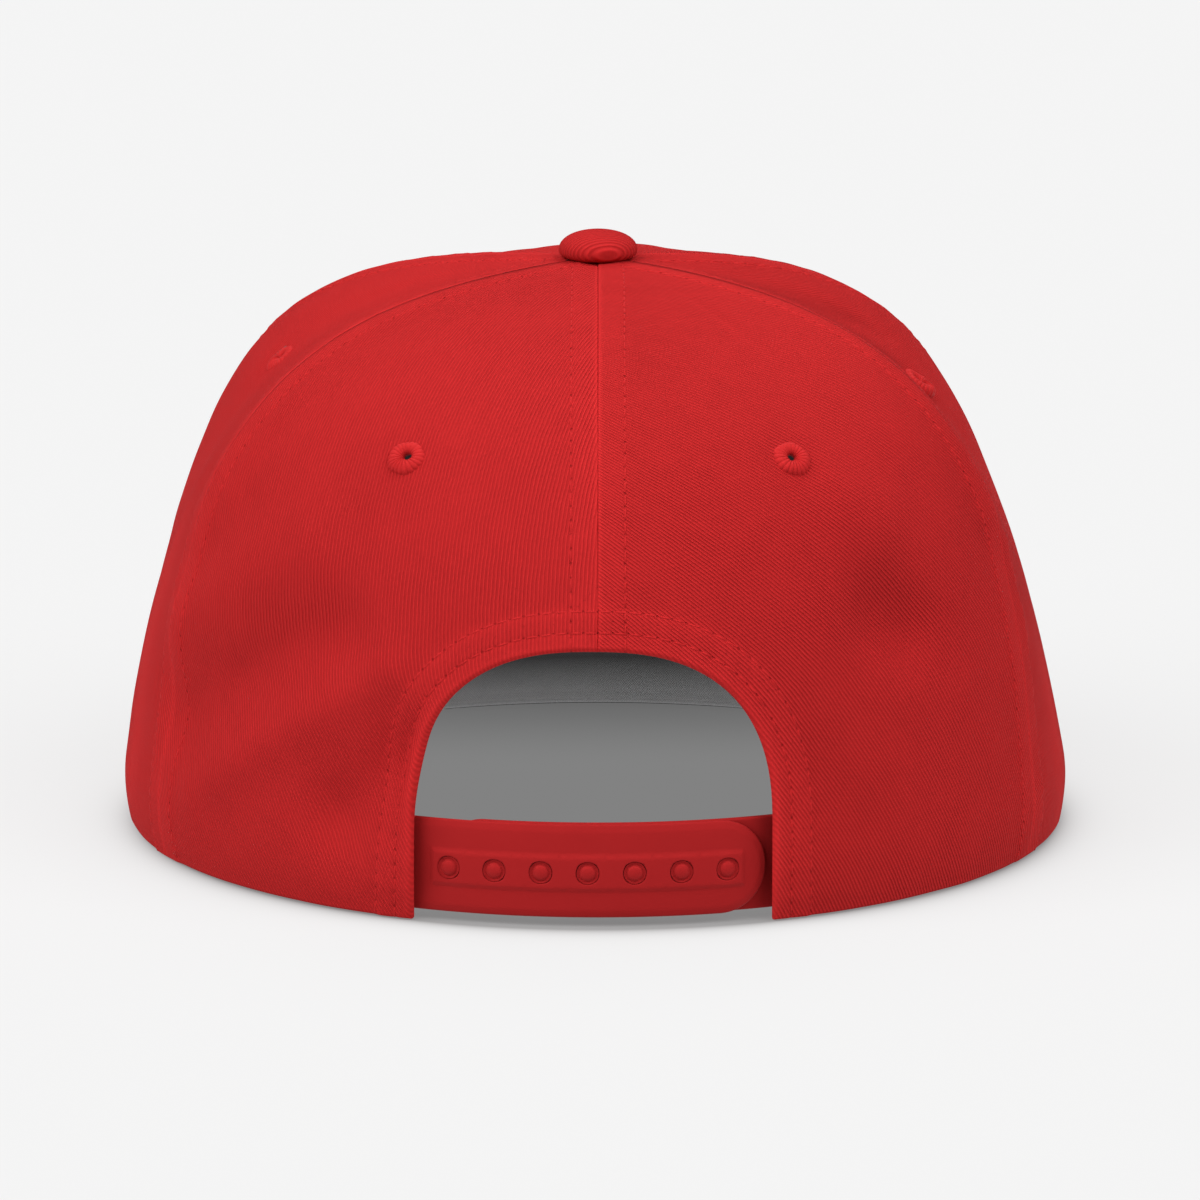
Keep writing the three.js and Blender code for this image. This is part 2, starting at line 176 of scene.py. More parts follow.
# Stitched eyelets. The cloth dips round each and is cut away under its thread.
EYELETS = (
    dict(node="eyelet_back_left", azimuth=30, height=88.4, hole=0.7, proud=0.7),
    dict(node="eyelet_side_left", azimuth=94, height=94.5, hole=0.25, proud=0.3),
    dict(node="eyelet_side_right", azimuth=268, height=89.5, hole=0.95, proud=1.3),
    dict(node="eyelet_back_right", azimuth=330, height=88.4, hole=0.7, proud=0.75),
)
EYELET_RADIUS = 3.9
EYELET_DIP = 0.22
EYELET_DIP_AWAY = 0.6
EYELET_DIP_WIDTH = 1.5
EYELET_CUT = 1.3
EYELET_OFFSET = 0.55
EYELET_THREADS = 21
EYELET_RIDGE = 0.3

# The cloth wall and its seams: how each edge turns in, how deep the two faces meet, and how much of the
# relief is kept there. The allowance behind a sewn row lifts the cloth as far as the row.
WALL = 1.8
SEAM_ROUND = 0.3
CENTRE_SEAM_DEPTH = 0.1
CENTRE_SEAM_KEPT = 0.4
SIDE_SEAM_DEPTH = 0.03
SIDE_SEAM_KEPT = 0.85
EDGE_ROUND = 1.0
SEAM_ROW = 5.3
SEAM_LIFT = 0.28
SEAM_DIP = 0.3
SEAM_DIP_WIDTH = 2.6
ALLOWANCE_START = 0.4
SEAM_ALLOWANCE_END = 1.4
HEM_ROWS = (3.6, 7.8)
HEM_LIFT = 0.4
HEM_ALLOWANCE_END = 0.9
HEM_TURN = 1.7
ROUND_OVER_SPREAD = 0.35

# The channel of a sewn row, deeper at each needle hole, and the puckers beside it.
CHANNEL_DEPTH = 0.16
CHANNEL_WIDTH = 0.5
CHANNEL_PULL = 0.35
PUCKER_HEIGHT = 0.07
PUCKER_REACH = 2.6
PUCKER_PITCHES = 2.35
NO_ROW = 99.0

# Sewn rows end this far from the axis, under the button and at the crown's front.
PANEL_ROWS_END = 8.6
BRIM_ROWS_END = 98.5

# The arch: a superellipse above a straight spring, a little to the wearer's left.
ARCH_WIDTH = 71.0
ARCH_SPRING = 20.0
ARCH_TOP = 55.0
ARCH_POWER = 2.45
ARCH_CENTRE = 1.0

# The brim. Over the ramp, in degrees as the brim's ends are, the rim rises to clear it.
BRIM_REACH = 70.0
BRIM_WIDTH = 184.0
BRIM_THICKNESS = 4.2
BRIM_ROOT = 28.0
BRIM_POWER = 2.65
BRIM_INNER_RADIUS = 93.6
BRIM_END_AZIMUTH = 107.0
BRIM_END_CLEARANCE = 1.0
BRIM_CLEARANCE = 0.3
BRIM_RAMP = 11.0
BRIM_ROOT_ROUND = 1.2
BRIM_ROOT_HIDDEN = 1.3
BRIM_END_SHOWN = 40.0
BRIM_ROWS = (7.5, 14, 20.5, 27, 33.5, 40, 46.5, 53)

# The button: a dome, tucked in under its edge, on a shank.
BUTTON_CLEARANCE = 0.1
BUTTON_TUCK_RISE = 1.5
BUTTON_TUCK_WIDTH = 1.4
SHANK_RADIUS = 2.2
SHANK_TIP_RADIUS = 1.8
SHANK_TIP_RISE = 0.6
PLEAT_START = 0.6

# The snap straps, with their tabs, ends, snaps and raised band in degrees round the back.
STRAP_RADIUS = 92.7
STRAP_BOTTOM = 1.8
STRAP_HEIGHT = 18.8
STRAP_THICKNESS = 1.3
STRAP_LAYER = 1.6
STRAP_TAB = 27.0
STRAP_BOW = 0.3
STRAP_BOW_KEPT = 26.0
STRAP_BOW_GONE = 32.0
STRAP_EDGE_ROUND = 0.45
STRAP_HOLE_ROUND = 0.12
STRAP_CHAMFER = 0.25
STRAP_CHAMFER_START = 0.2
STRAP_CHAMFER_END = 1.7
HOLE_STRAP_END = -20.9
PEG_STRAP_END = 20.0
SNAP_COUNT = 7
SNAP_FIRST = 18.3
SNAP_LAST = -15.8
SNAP_HEIGHT = 11.0
SNAP_HOLE = 2.2
PEG_RADIUS = 1.48
PEG_PROUD = 1.05
PEG_DOME = 0.6
PEG_FOOT = 2.19
STRAP_BAND_START = 20.5
STRAP_BAND_END = -17.8
STRAP_BAND_MIDDLE = 10.95
STRAP_BAND_HALF = 3.35
STRAP_BAND_RISE = 0.4
STRAP_BAND_EDGE = 0.25

# The sweatband. It steps in for the straps' tabs and for the brim. Its colour has painted light low down and
# painted shade higher up, with painted shade in the fold at its lower edge.
BAND_HEIGHT = 30.0
BAND_THICKNESS = 1.2
BAND_LIFT = 0.5
BAND_LIFT_AT_BRIM = 0.1
BAND_CLEARANCE = 0.7
BAND_END = 27.3
BAND_TAB_ROOM = 5.0
BAND_BRIM_ROOM = 0.8
BAND_TAB_ROOM_KEPT = 2.0
BAND_TAB_ROOM_GONE = 11.0
BAND_EDGE_ROUND = 0.6
BAND_ROWS = (2.2, 27.4)
BAND_ROW_DIP = 0.06
BAND_ROW_WIDTH = 0.6
# Width and tone of the painted shade in the fold at the lower edge, then the height and tones of the painted
# light below and the painted shade above.
BAND_EDGE_SHADE_WIDTH = 0.9
BAND_EDGE_SHADE_TONE = 0.5
BAND_PAINTED_GRADIENT_HEIGHT = 9.5
BAND_PAINTED_LIGHT_TONE = 1.07
BAND_PAINTED_SHADE_TONE = 0.17

# The twill's weave: its depth, its mean height, and the share of it that a rounded edge loses.
TWILL_DEPTH = 0.27
TWILL_MEAN_HEIGHT = 0.45
ROUND_OVER_LOSS = 0.8

# The floor's shading round the crown: the rim's radius, how soon the floor is pale beyond it, and how far
# in front of the axis the darkest floor lies.
RIM_RADIUS = 94.5
FLOOR_SHADE_WIDTH = 2.8
FLOOR_SHADE_FRONT = 95.0
FLOOR_HALF_WIDTH = 6000.0

# Where the camera aims, from the centre of the rim, its sensor's width, and each light's width in degrees.
AIM_ABOVE_RIM = 43.4
AIM_RIGHT_OF_RIM = 0.4
SENSOR_WIDTH = 36.0
LIGHT_WIDTH = 50.0


def smooth(value, low, high):
    """0 below low, 1 above high, and 3s^2 - 2s^3 of the share s between them."""
    share = np.clip((value - low) / (high - low), 0, 1)
    return share * share * (3 - 2 * share)


def unit(vectors):
    """Vectors divided by their length."""
    return vectors / np.linalg.norm(vectors, axis=-1, keepdims=True)


def signed(azimuth):
    """The azimuth between -180 and 180."""
    return np.mod(azimuth + 180.0, 360.0) - 180.0


def section(azimuth, column):
    """One column of the section table at any azimuth, on a closed cubic Hermite curve through its rows."""
    values = np.array([row[column] for row in SECTIONS], float)
    place = np.mod(azimuth, 360.0) / 360.0 * len(values)
    row = np.floor(place).astype(int) % len(values)
    s = place - np.floor(place)
    here, after = values[row], values[(row + 1) % len(values)]
    slope_here = (after - values[row - 1]) / 2
    slope_after = (values[(row + 2) % len(values)] - here) / 2
    return (
        (2 * s**3 - 3 * s**2 + 1) * here
        + (s**3 - 2 * s**2 + s) * slope_here
        + (3 * s**2 - 2 * s**3) * after
        + (s**3 - s**2) * slope_after
    )


def line_falloff(across, up, line):
    """exp(-(distance / width)^2) from a straight line on the unrolled crown, both in millimetres."""
    x0, y0 = line["start"][0] * MM_PER_DEGREE, line["start"][1]
    dx, dy = line["end"][0] * MM_PER_DEGREE - x0, line["end"][1] - y0
    share = np.clip(((across - x0) * dx + (up - y0) * dy) / (dx * dx + dy * dy), 0, 1)
    distance = np.hypot(across - x0 - share * dx, up - y0 - share * dy)
    return np.exp(-((distance / line["width"]) ** 2))


def fold_depth(azimuth, height):
    """The sum over the folds of depth times exp(-(distance to the fold's line / width)^2). It fades out
    towards the arch, by the measure |x / half the arch's width|^power + |y / its height above the
    spring|^power."""
    across, up = signed(azimuth) * MM_PER_DEGREE, height
    side = np.abs(CROWN_RADIUS * np.sin(np.radians(azimuth)) - ARCH_CENTRE) / (ARCH_WIDTH / 2)
    rise = np.maximum(up - ARCH_SPRING, 0) / (ARCH_TOP - ARCH_SPRING)
    away = (side**ARCH_POWER + rise**ARCH_POWER) ** (1 / ARCH_POWER)
    away = np.where(np.abs(signed(azimuth)) > 90, 2, away)
    total = sum(fold["depth"] * line_falloff(across, up, fold) for fold in FOLDS)
    return total * smooth(away, 1.0, FOLD_FADE_AT_ARCH)


def painted_light_and_shade(azimuth, height):
    """Painted light and shade along lines: the sum over the table of tone times exp(-(distance to the
    line / width)^2).
    """
    across = signed(azimuth) * MM_PER_DEGREE
    return sum(painted_line["tone"] * line_falloff(across, height, painted_line) for painted_line in PAINTED_LIGHT_AND_SHADE)


def unevenness(azimuth, height):
    """Slight waves of the cloth, a tenth of a millimetre or so high: a sum of sines that run in several
    directions, each bent by the one before it."""
    across, up = signed(azimuth) * MM_PER_DEGREE, height
    total = np.zeros(np.broadcast(across, up).shape)
    for wave in WAVES:
        turn = np.radians(wave["turn"])
        along = across * np.cos(turn) + up * np.sin(turn)
        phase = 2 * np.pi * along / wave["length"] + WAVE_BEND * total + wave["turn"]
        total = total + wave["height"] * np.sin(phase)
    return total * smooth(WAVES_END - height, 0, WAVES_FADE)


def meridian_height(azimuth, t):
    """Height of the meridian's cubic curve at t."""
    lower, upper = 3 * t * (1 - t) ** 2, 3 * t**2 * (1 - t)
    top = CROWN_HEIGHT - section(azimuth, "drop")
    return lower * section(azimuth, "rise") + upper * top + t**3 * CROWN_HEIGHT


def crown_point(azimuth, t):
    """A point of the crown's outer face: the meridian's cubic curve from the rim, where t is 0, to the apex,
    where t is 1, less the rim's curl, plus the folds, turned to its azimuth about the axis."""
    azimuth, t = np.broadcast_arrays(np.asarray(azimuth, float), np.asarray(t, float))
    rim = section(azimuth, "rim")
    lower, upper = 3 * t * (1 - t) ** 2, 3 * t**2 * (1 - t)
    z = meridian_height(azimuth, t)
    r = (1 - t) ** 3 * rim + lower * (rim - section(azimuth, "lean")) + upper * section(azimuth, "shoulder")
    r = r - CURL_DEPTH * np.maximum(0, 1 - z / CURL_HEIGHT) ** 2 + fold_depth(azimuth, z)
    a = np.radians(azimuth)
    return np.stack([r * np.sin(a), r * np.cos(a), z], axis=-1)


def crown_normal(azimuth, t):
    """Outward normal: the rise along the meridian crossed with the step round the crown."""
    step = 1e-3
    rising = crown_point(azimuth, t + step) - crown_point(azimuth, t - step)
    round_ = crown_point(azimuth + step, t) - crown_point(azimuth - step, t)
    return unit(np.cross(rising, round_))


def crown_t(azimuth, height):
    """The t at which a meridian reaches a height, found by halving."""
    azimuth, height = np.broadcast_arrays(np.asarray(azimuth, float), np.asarray(height, float))
    low, high = np.zeros(azimuth.shape), np.ones(azimuth.shape)
    for _ in range(34):
        middle = (low + high) / 2
        below = meridian_height(azimuth, middle) < height
        low, high = np.where(below, middle, low), np.where(below, high, middle)
    return (low + high) / 2


def top_t(azimuth):
    """The t at which the panels stop, at the hole under the button."""
    return 1 - TOP_HOLE / (3 * section(azimuth, "shoulder"))


def rim_height(azimuth):
    """Height of the rim: on the floor at the sides and back, on top of the brim in front."""
    start = BRIM_END_AZIMUTH - BRIM_END_CLEARANCE - BRIM_RAMP
    return (BRIM_THICKNESS + BRIM_CLEARANCE) * smooth(np.abs(signed(azimuth)), start, start + BRIM_RAMP)


def spaced(length, fine_low, fine_high, coarse, growth=0.09):
    """Shares from 0 to 1 along a length. Cells start fine at each end and grow by a share of the distance
    from it, up to coarse."""
    x = np.linspace(0, length, 4000)
    size = np.minimum(np.minimum(fine_low + growth * x, fine_high + growth * (length - x)), coarse)
    cells = np.concatenate([[0], np.cumsum(np.diff(x) / ((size[1:] + size[:-1]) / 2))])
    count = int(np.ceil(cells[-1]))
    return np.interp(np.linspace(0, cells[-1], count + 1), cells, x) / length


def new_object(name, verts, faces, face_slots, materials, uv=None, attributes=()):
    """A mesh object from numpy arrays: points in millimetres about the crown's axis, and faces as rows of 3
    or 4 corners. uv and the attributes are given for each point."""
    mesh = bpy.data.meshes.new(name)
    faces = [faces] if isinstance(faces, np.ndarray) else list(faces)
    corners = np.concatenate([f.ravel() for f in faces]).astype(np.int32)
    sizes = np.concatenate([np.full(len(f), f.shape[1], np.int32) for f in faces])
    mesh.vertices.add(len(verts))
    mesh.vertices.foreach_set("co", (verts * MM + AXIS).astype(np.float32).ravel())
    mesh.loops.add(len(corners))
    mesh.loops.foreach_set("vertex_index", corners)
    mesh.polygons.add(len(sizes))
    mesh.polygons.foreach_set("loop_start", np.concatenate([[0], np.cumsum(sizes)[:-1]]).astype(np.int32))
    mesh.polygons.foreach_set("use_smooth", np.ones(len(sizes), bool))
    mesh.polygons.foreach_set("material_index", np.asarray(face_slots, np.int32))
    if uv is not None:
        layer = mesh.uv_layers.new(name="weave")
        layer.uv.foreach_set("vector", uv[corners].astype(np.float32).ravel())
    for key, values in dict(attributes).items():
        layer = mesh.attributes.new(key, "FLOAT", "POINT")
        layer.data.foreach_set("value", np.asarray(values, np.float32).ravel())
    for material in materials:
        mesh.materials.append(material)
    mesh.update(calc_edges=True)
    mesh.validate(clean_customdata=False)
    made = bpy.data.objects.new(name, mesh)
    bpy.context.scene.collection.objects.link(made)
    return made


def grid_faces(rows, columns, keep=None):
    """Quads of a grid whose points are numbered row by row, only where keep is true."""
    i, j = np.meshgrid(np.arange(rows - 1), np.arange(columns - 1), indexing="ij")
    if keep is not None:
        i, j = i[keep], j[keep]
    a = (i * columns + j).ravel()
    return np.stack([a, a + 1, a + columns + 1, a + columns], axis=1)


def closed_sheet(outer, inner, keep=None):
    """A closed wall from two grids of points, its outer and inner face. They share their border points,
    taken from outer, and each hole where keep is false gets a wall between the two. Gives the points, the
    faces, which faces belong to the outer grid, and for each point its number in the grid."""
    rows, columns = outer.shape[:2]
    count = rows * columns
    border = np.ones((rows, columns), bool)
    border[1:-1, 1:-1] = False
    inside = ~border
    inner_number = np.arange(count).reshape(rows, columns).copy()
    inner_number[inside] = count + np.arange(inside.sum())
    outside_faces = grid_faces(rows, columns, keep)
    inside_faces = inner_number.ravel()[outside_faces][:, ::-1]
    parts = [outside_faces, inside_faces]
    if keep is not None and not keep.all():
        cell = np.arange(count).reshape(rows, columns)
        hole = ~keep
        for shift, first, second in (
            ((1, 0), cell[1:-1, :-1], cell[1:-1, 1:]),
            ((0, 1), cell[:-1, 1:-1], cell[1:, 1:-1]),
        ):
            before = hole[: rows - 1 - shift[0], : columns - 1 - shift[1]]
            after = hole[shift[0] :, shift[1] :]
            for mask, turned in ((before & ~after, shift[0] == 0), (~before & after, shift[0] == 1)):
                a, b = first[mask], second[mask]
                if turned:
                    a, b = b, a
                flat = inner_number.ravel()
                parts.append(np.stack([b, a, flat[a], flat[b]], axis=1))
    faces = np.concatenate(parts)
    verts = np.concatenate([outer.reshape(-1, 3), inner[inside]])
    source = np.concatenate([np.arange(count), np.arange(count)[inside.ravel()]])
    is_outer = np.zeros(len(faces), bool)
    is_outer[: len(outside_faces)] = True
    used, remap = np.unique(faces, return_inverse=True)
    return verts[used], remap.reshape(faces.shape), is_outer, source[used]


def face_out(verts, faces, is_outer, outward):
    """Turns all faces round if the outer ones look against the outward directions of their points."""
    sample = faces[is_outer]
    normal = np.cross(verts[sample[:, 2]] - verts[sample[:, 0]], verts[sample[:, 3]] - verts[sample[:, 1]])
    return faces[:, ::-1] if np.sum(normal * outward[sample[:, 0]]) < 0 else faces


def arc_length(points):
    """Length along a line of points, starting at 0."""
    return np.concatenate([[0], np.cumsum(np.linalg.norm(np.diff(points, axis=0), axis=1))])


def level_line(grid, field, level, axis, from_end=False):
    """The line on a grid where a distance field first reaches a level, followed along the other axis. Gives
    the points, interpolated along each grid line."""
    points, values = (np.moveaxis(a, axis, 0) for a in (grid, field))
    if from_end:
        points, values = points[::-1], values[::-1]
    after = np.clip((values >= level).argmax(axis=0), 1, None)
    line = np.arange(values.shape[1])
    v0, v1 = values[after - 1, line], values[after, line]
    share = np.clip((level - v0) / np.where(v1 == v0, 1, v1 - v0), 0, 1)[:, None]
    return points[after - 1, line] * (1 - share) + points[after, line] * share


def distance_to_line(points, line):
    """Distance from each point to the nearest point of a closely spaced line."""
    nearest = np.full(points.shape[:-1], np.inf)
    for part in np.array_split(line, max(1, len(line) // 50)):
        distance = np.linalg.norm(points[..., None, :] - part, axis=-1).min(axis=-1)
        nearest = np.minimum(nearest, distance)
    return nearest


def edge_profile(distance, radius):
    """Height share of a rounded edge: a quarter circle from 0 at the edge to 1 at radius."""
    return np.sqrt(1 - (1 - np.clip(distance / radius, 0, 1)) ** 2)


def panel_domain(panel):
    """Azimuth and t over a side or front panel: columns lie between its seams, rows go from rim to top."""
    width = MM_PER_DEGREE * (panel["high"] - panel["low"])
    across = spaced(width, fine_low=0.04, fine_high=0.04, coarse=1.4)
    along = spaced(PANEL_LENGTH, fine_low=0.15, fine_high=1.2, coarse=1.4)
    azimuth = panel["low"] + (panel["high"] - panel["low"]) * across
    azimuth, share = np.meshgrid(azimuth, along, indexing="ij")
    low, high = crown_t(azimuth, rim_height(azimuth)), top_t(azimuth)
    return azimuth, low + (high - low) * share


def arch_edge(side, count=600):
    """Azimuth and t of the arch's edge from its top at the centre seam to its foot. Seen from behind, it is
    half of a superellipse above the spring and a straight drop below it. side is 1 or, on the right, -1."""
    half = ARCH_WIDTH / 2
    angle = np.linspace(np.pi, 0, 4 * count)
    c, s = np.cos(angle), np.sin(angle)
    x = half * np.sign(c) * np.abs(c) ** (2 / ARCH_POWER) * side + ARCH_CENTRE
    z = ARCH_SPRING + (ARCH_TOP - ARCH_SPRING) * s ** (2 / ARCH_POWER)
    on_side = x * side >= 0
    x, z = np.append(x[on_side], x[on_side][-1]), np.append(z[on_side], 0.0)
    x[0] = 0.0
    place = np.concatenate([[0], np.cumsum(np.hypot(np.diff(x), np.diff(z)))])
    even = np.linspace(0, place[-1], count)
    x, z = np.interp(even, place, x), np.interp(even, place, z)
    azimuth = np.degrees(np.arcsin(x / CROWN_RADIUS))
    for _ in range(12):
        flat = crown_point(azimuth, crown_t(azimuth, z))
        azimuth = np.degrees(np.arcsin(x / np.hypot(flat[:, 0], flat[:, 1])))
    return azimuth, crown_t(azimuth, z)


def back_panel_domain(side):
    """Azimuth and t over a back panel, as a Coons patch on the disc whose radius is 1 - t. Rows start at
    the arch's edge and end at the side seam; columns start at the centre seam and end at the rim."""
    along = spaced(BACK_PANEL_LENGTH, fine_low=0.12, fine_high=0.15, coarse=1.25)
    across = spaced(BACK_PANEL_WIDTH, fine_low=0.15, fine_high=0.04, coarse=1.25)
    edge_azimuth, edge_t = arch_edge(side)
    share = np.linspace(0, 1, len(edge_azimuth))

    def disc(azimuth, t):
        """The place on the disc of an azimuth and t."""
        a = np.radians(azimuth)
        return np.stack([(1 - t) * np.sin(a), (1 - t) * np.cos(a)], axis=-1)

    seam = side * BACK_SEAM
    arch = disc(np.interp(along, share, edge_azimuth), np.interp(along, share, edge_t))
    side_seam = disc(seam, top_t(seam) * (1 - along))
    centre = disc(0.0, edge_t[0] + (top_t(0.0) - edge_t[0]) * across)
    rim = disc(edge_azimuth[-1] + (seam - edge_azimuth[-1]) * across, 0.0 * across)
    p, q = along[:, None, None], across[None, :, None]
    corners = (
        (1 - p) * (1 - q) * arch[0]
        + p * (1 - q) * arch[-1]
        + (1 - p) * q * side_seam[0]
        + p * q * side_seam[-1]
    )
    centre[-1] = side_seam[0]
    flat = (1 - q) * arch[:, None] + q * side_seam[:, None] + (1 - p) * centre[None] + p * rim[None] - corners
    azimuth = np.degrees(np.arctan2(flat[..., 0], flat[..., 1]))
    return azimuth, 1 - np.hypot(flat[..., 0], flat[..., 1])


def meridian_length(panel, t):
    """Length up the panel's middle meridian from the rim to t."""
    middle = (panel["low"] + panel["high"]) / 2
    samples = np.linspace(0, 1, 400)
    return np.interp(t, samples, arc_length(crown_point(middle, samples)))


def weave_uv(panel, azimuth, t, point):
    """Where a point lies on the flattened panel, in millimetres: u across the ribs and v along them. The
    ribs' lean turns from tilt_low to tilt_high up the panel, and by fan for each millimetre across."""
    middle = (panel["low"] + panel["high"]) / 2
    right = -np.hypot(point[..., 0], point[..., 1]) * np.radians(signed(azimuth - middle))
    up = meridian_length(panel, t)
    heights = np.linspace(-10, 220, 500)
    turn = smooth(heights, TILT_TURN_HEIGHT - TILT_TURN_WIDTH, TILT_TURN_HEIGHT + TILT_TURN_WIDTH)
    tilt = np.radians(panel["tilt_low"] + (panel["tilt_high"] - panel["tilt_low"]) * turn)
    slide = np.concatenate([[0], np.cumsum(np.tan(tilt[1:]) * np.diff(heights))])
    mean = np.radians((panel["tilt_low"] + panel["tilt_high"]) / 2)
    u = (right - np.interp(up, heights, slide) + panel["fan"] * right * (up - FAN_HEIGHT)) * np.cos(mean)
    v = right * np.sin(mean) + up * np.cos(mean)
    return np.stack([u, v], axis=-1)


class Relief:
    """What stands out of or dips into a piece's smooth face, with the piece's sewn rows."""

    def __init__(self, point):
        self.point = point
        self.height = np.zeros(point.shape[:2])
        self.outer_drop = np.zeros(point.shape[:2])
        self.inner_drop = np.zeros(point.shape[:2])
        self.profile = np.ones(point.shape[:2])
        self.round_over = np.zeros(point.shape[:2])
        self.across = np.full(point.shape[:2], NO_ROW)
        self.along = np.zeros(point.shape[:2])
        self.rows = []

    def edge(self, distance, radius, depth, wall, kept=0.0):
        """Rounds the wall off towards an edge, where its two faces meet at a depth below the outer one, and
        where only the kept share of the relief is left. round_over falls as exp(-(distance / spread)^2)."""
        profile = edge_profile(distance, radius)
        self.profile = np.minimum(self.profile, kept + (1 - kept) * profile)
        near = np.exp(-((distance / (radius + ROUND_OVER_SPREAD)) ** 2))
        self.round_over = np.maximum(self.round_over, near)
        self.outer_drop = np.maximum(self.outer_drop, depth * (1 - profile))
        self.inner_drop = np.maximum(self.inner_drop, (wall - depth) * (1 - profile))

    def sew(self, distance, level, axis, from_end=False):
        """Sews a row of stitches where a distance field has a level: a channel and the row's coordinates."""
        line = level_line(self.point, distance, level, axis, from_end)
        length = arc_length(line)
        along = length[:, None] if axis == 1 else length[None, :]
        along = np.broadcast_to(along, self.height.shape)
        across = distance - level
        nearer = np.abs(across) < np.abs(self.across)
        self.across = np.where(nearer, across, self.across)
        self.along = np.where(nearer, along, self.along)
        self.rows.append(dict(distance=distance, level=level, axis=axis, from_end=from_end, length=length))
        pitch = settings().stitch_pitch / MM
        pull = 1 + CHANNEL_PULL * np.cos(2 * np.pi * along / pitch)
        self.height = self.height - CHANNEL_DEPTH * pull * np.exp(-((across / CHANNEL_WIDTH) ** 2))
        ripple = np.sin(2 * np.pi * along / (PUCKER_PITCHES * pitch) + 1.3 * np.sin(along / 13.0))
        self.height = self.height + PUCKER_HEIGHT * ripple * np.exp(-np.abs(across) / PUCKER_REACH)

    def finished_rows(self, outer, normal):
        """The sewn rows on the finished outer face: for each, its lengths, its points and their normals."""
        finished = []
        for row in self.rows:
            line, up = (
                level_line(grid, row["distance"], row["level"], row["axis"], row["from_end"])
                for grid in (outer, normal)
            )
            finished.append((row["length"], line, up))
        return finished


def settings():
    """The sizes and colours that a user can change."""
    return bpy.context.scene.cap_settings


def eyelet_place(eyelet):
    """Where an eyelet sits on the crown's outer face."""
    return crown_point(eyelet["azimuth"], crown_t(eyelet["azimuth"], eyelet["height"]))


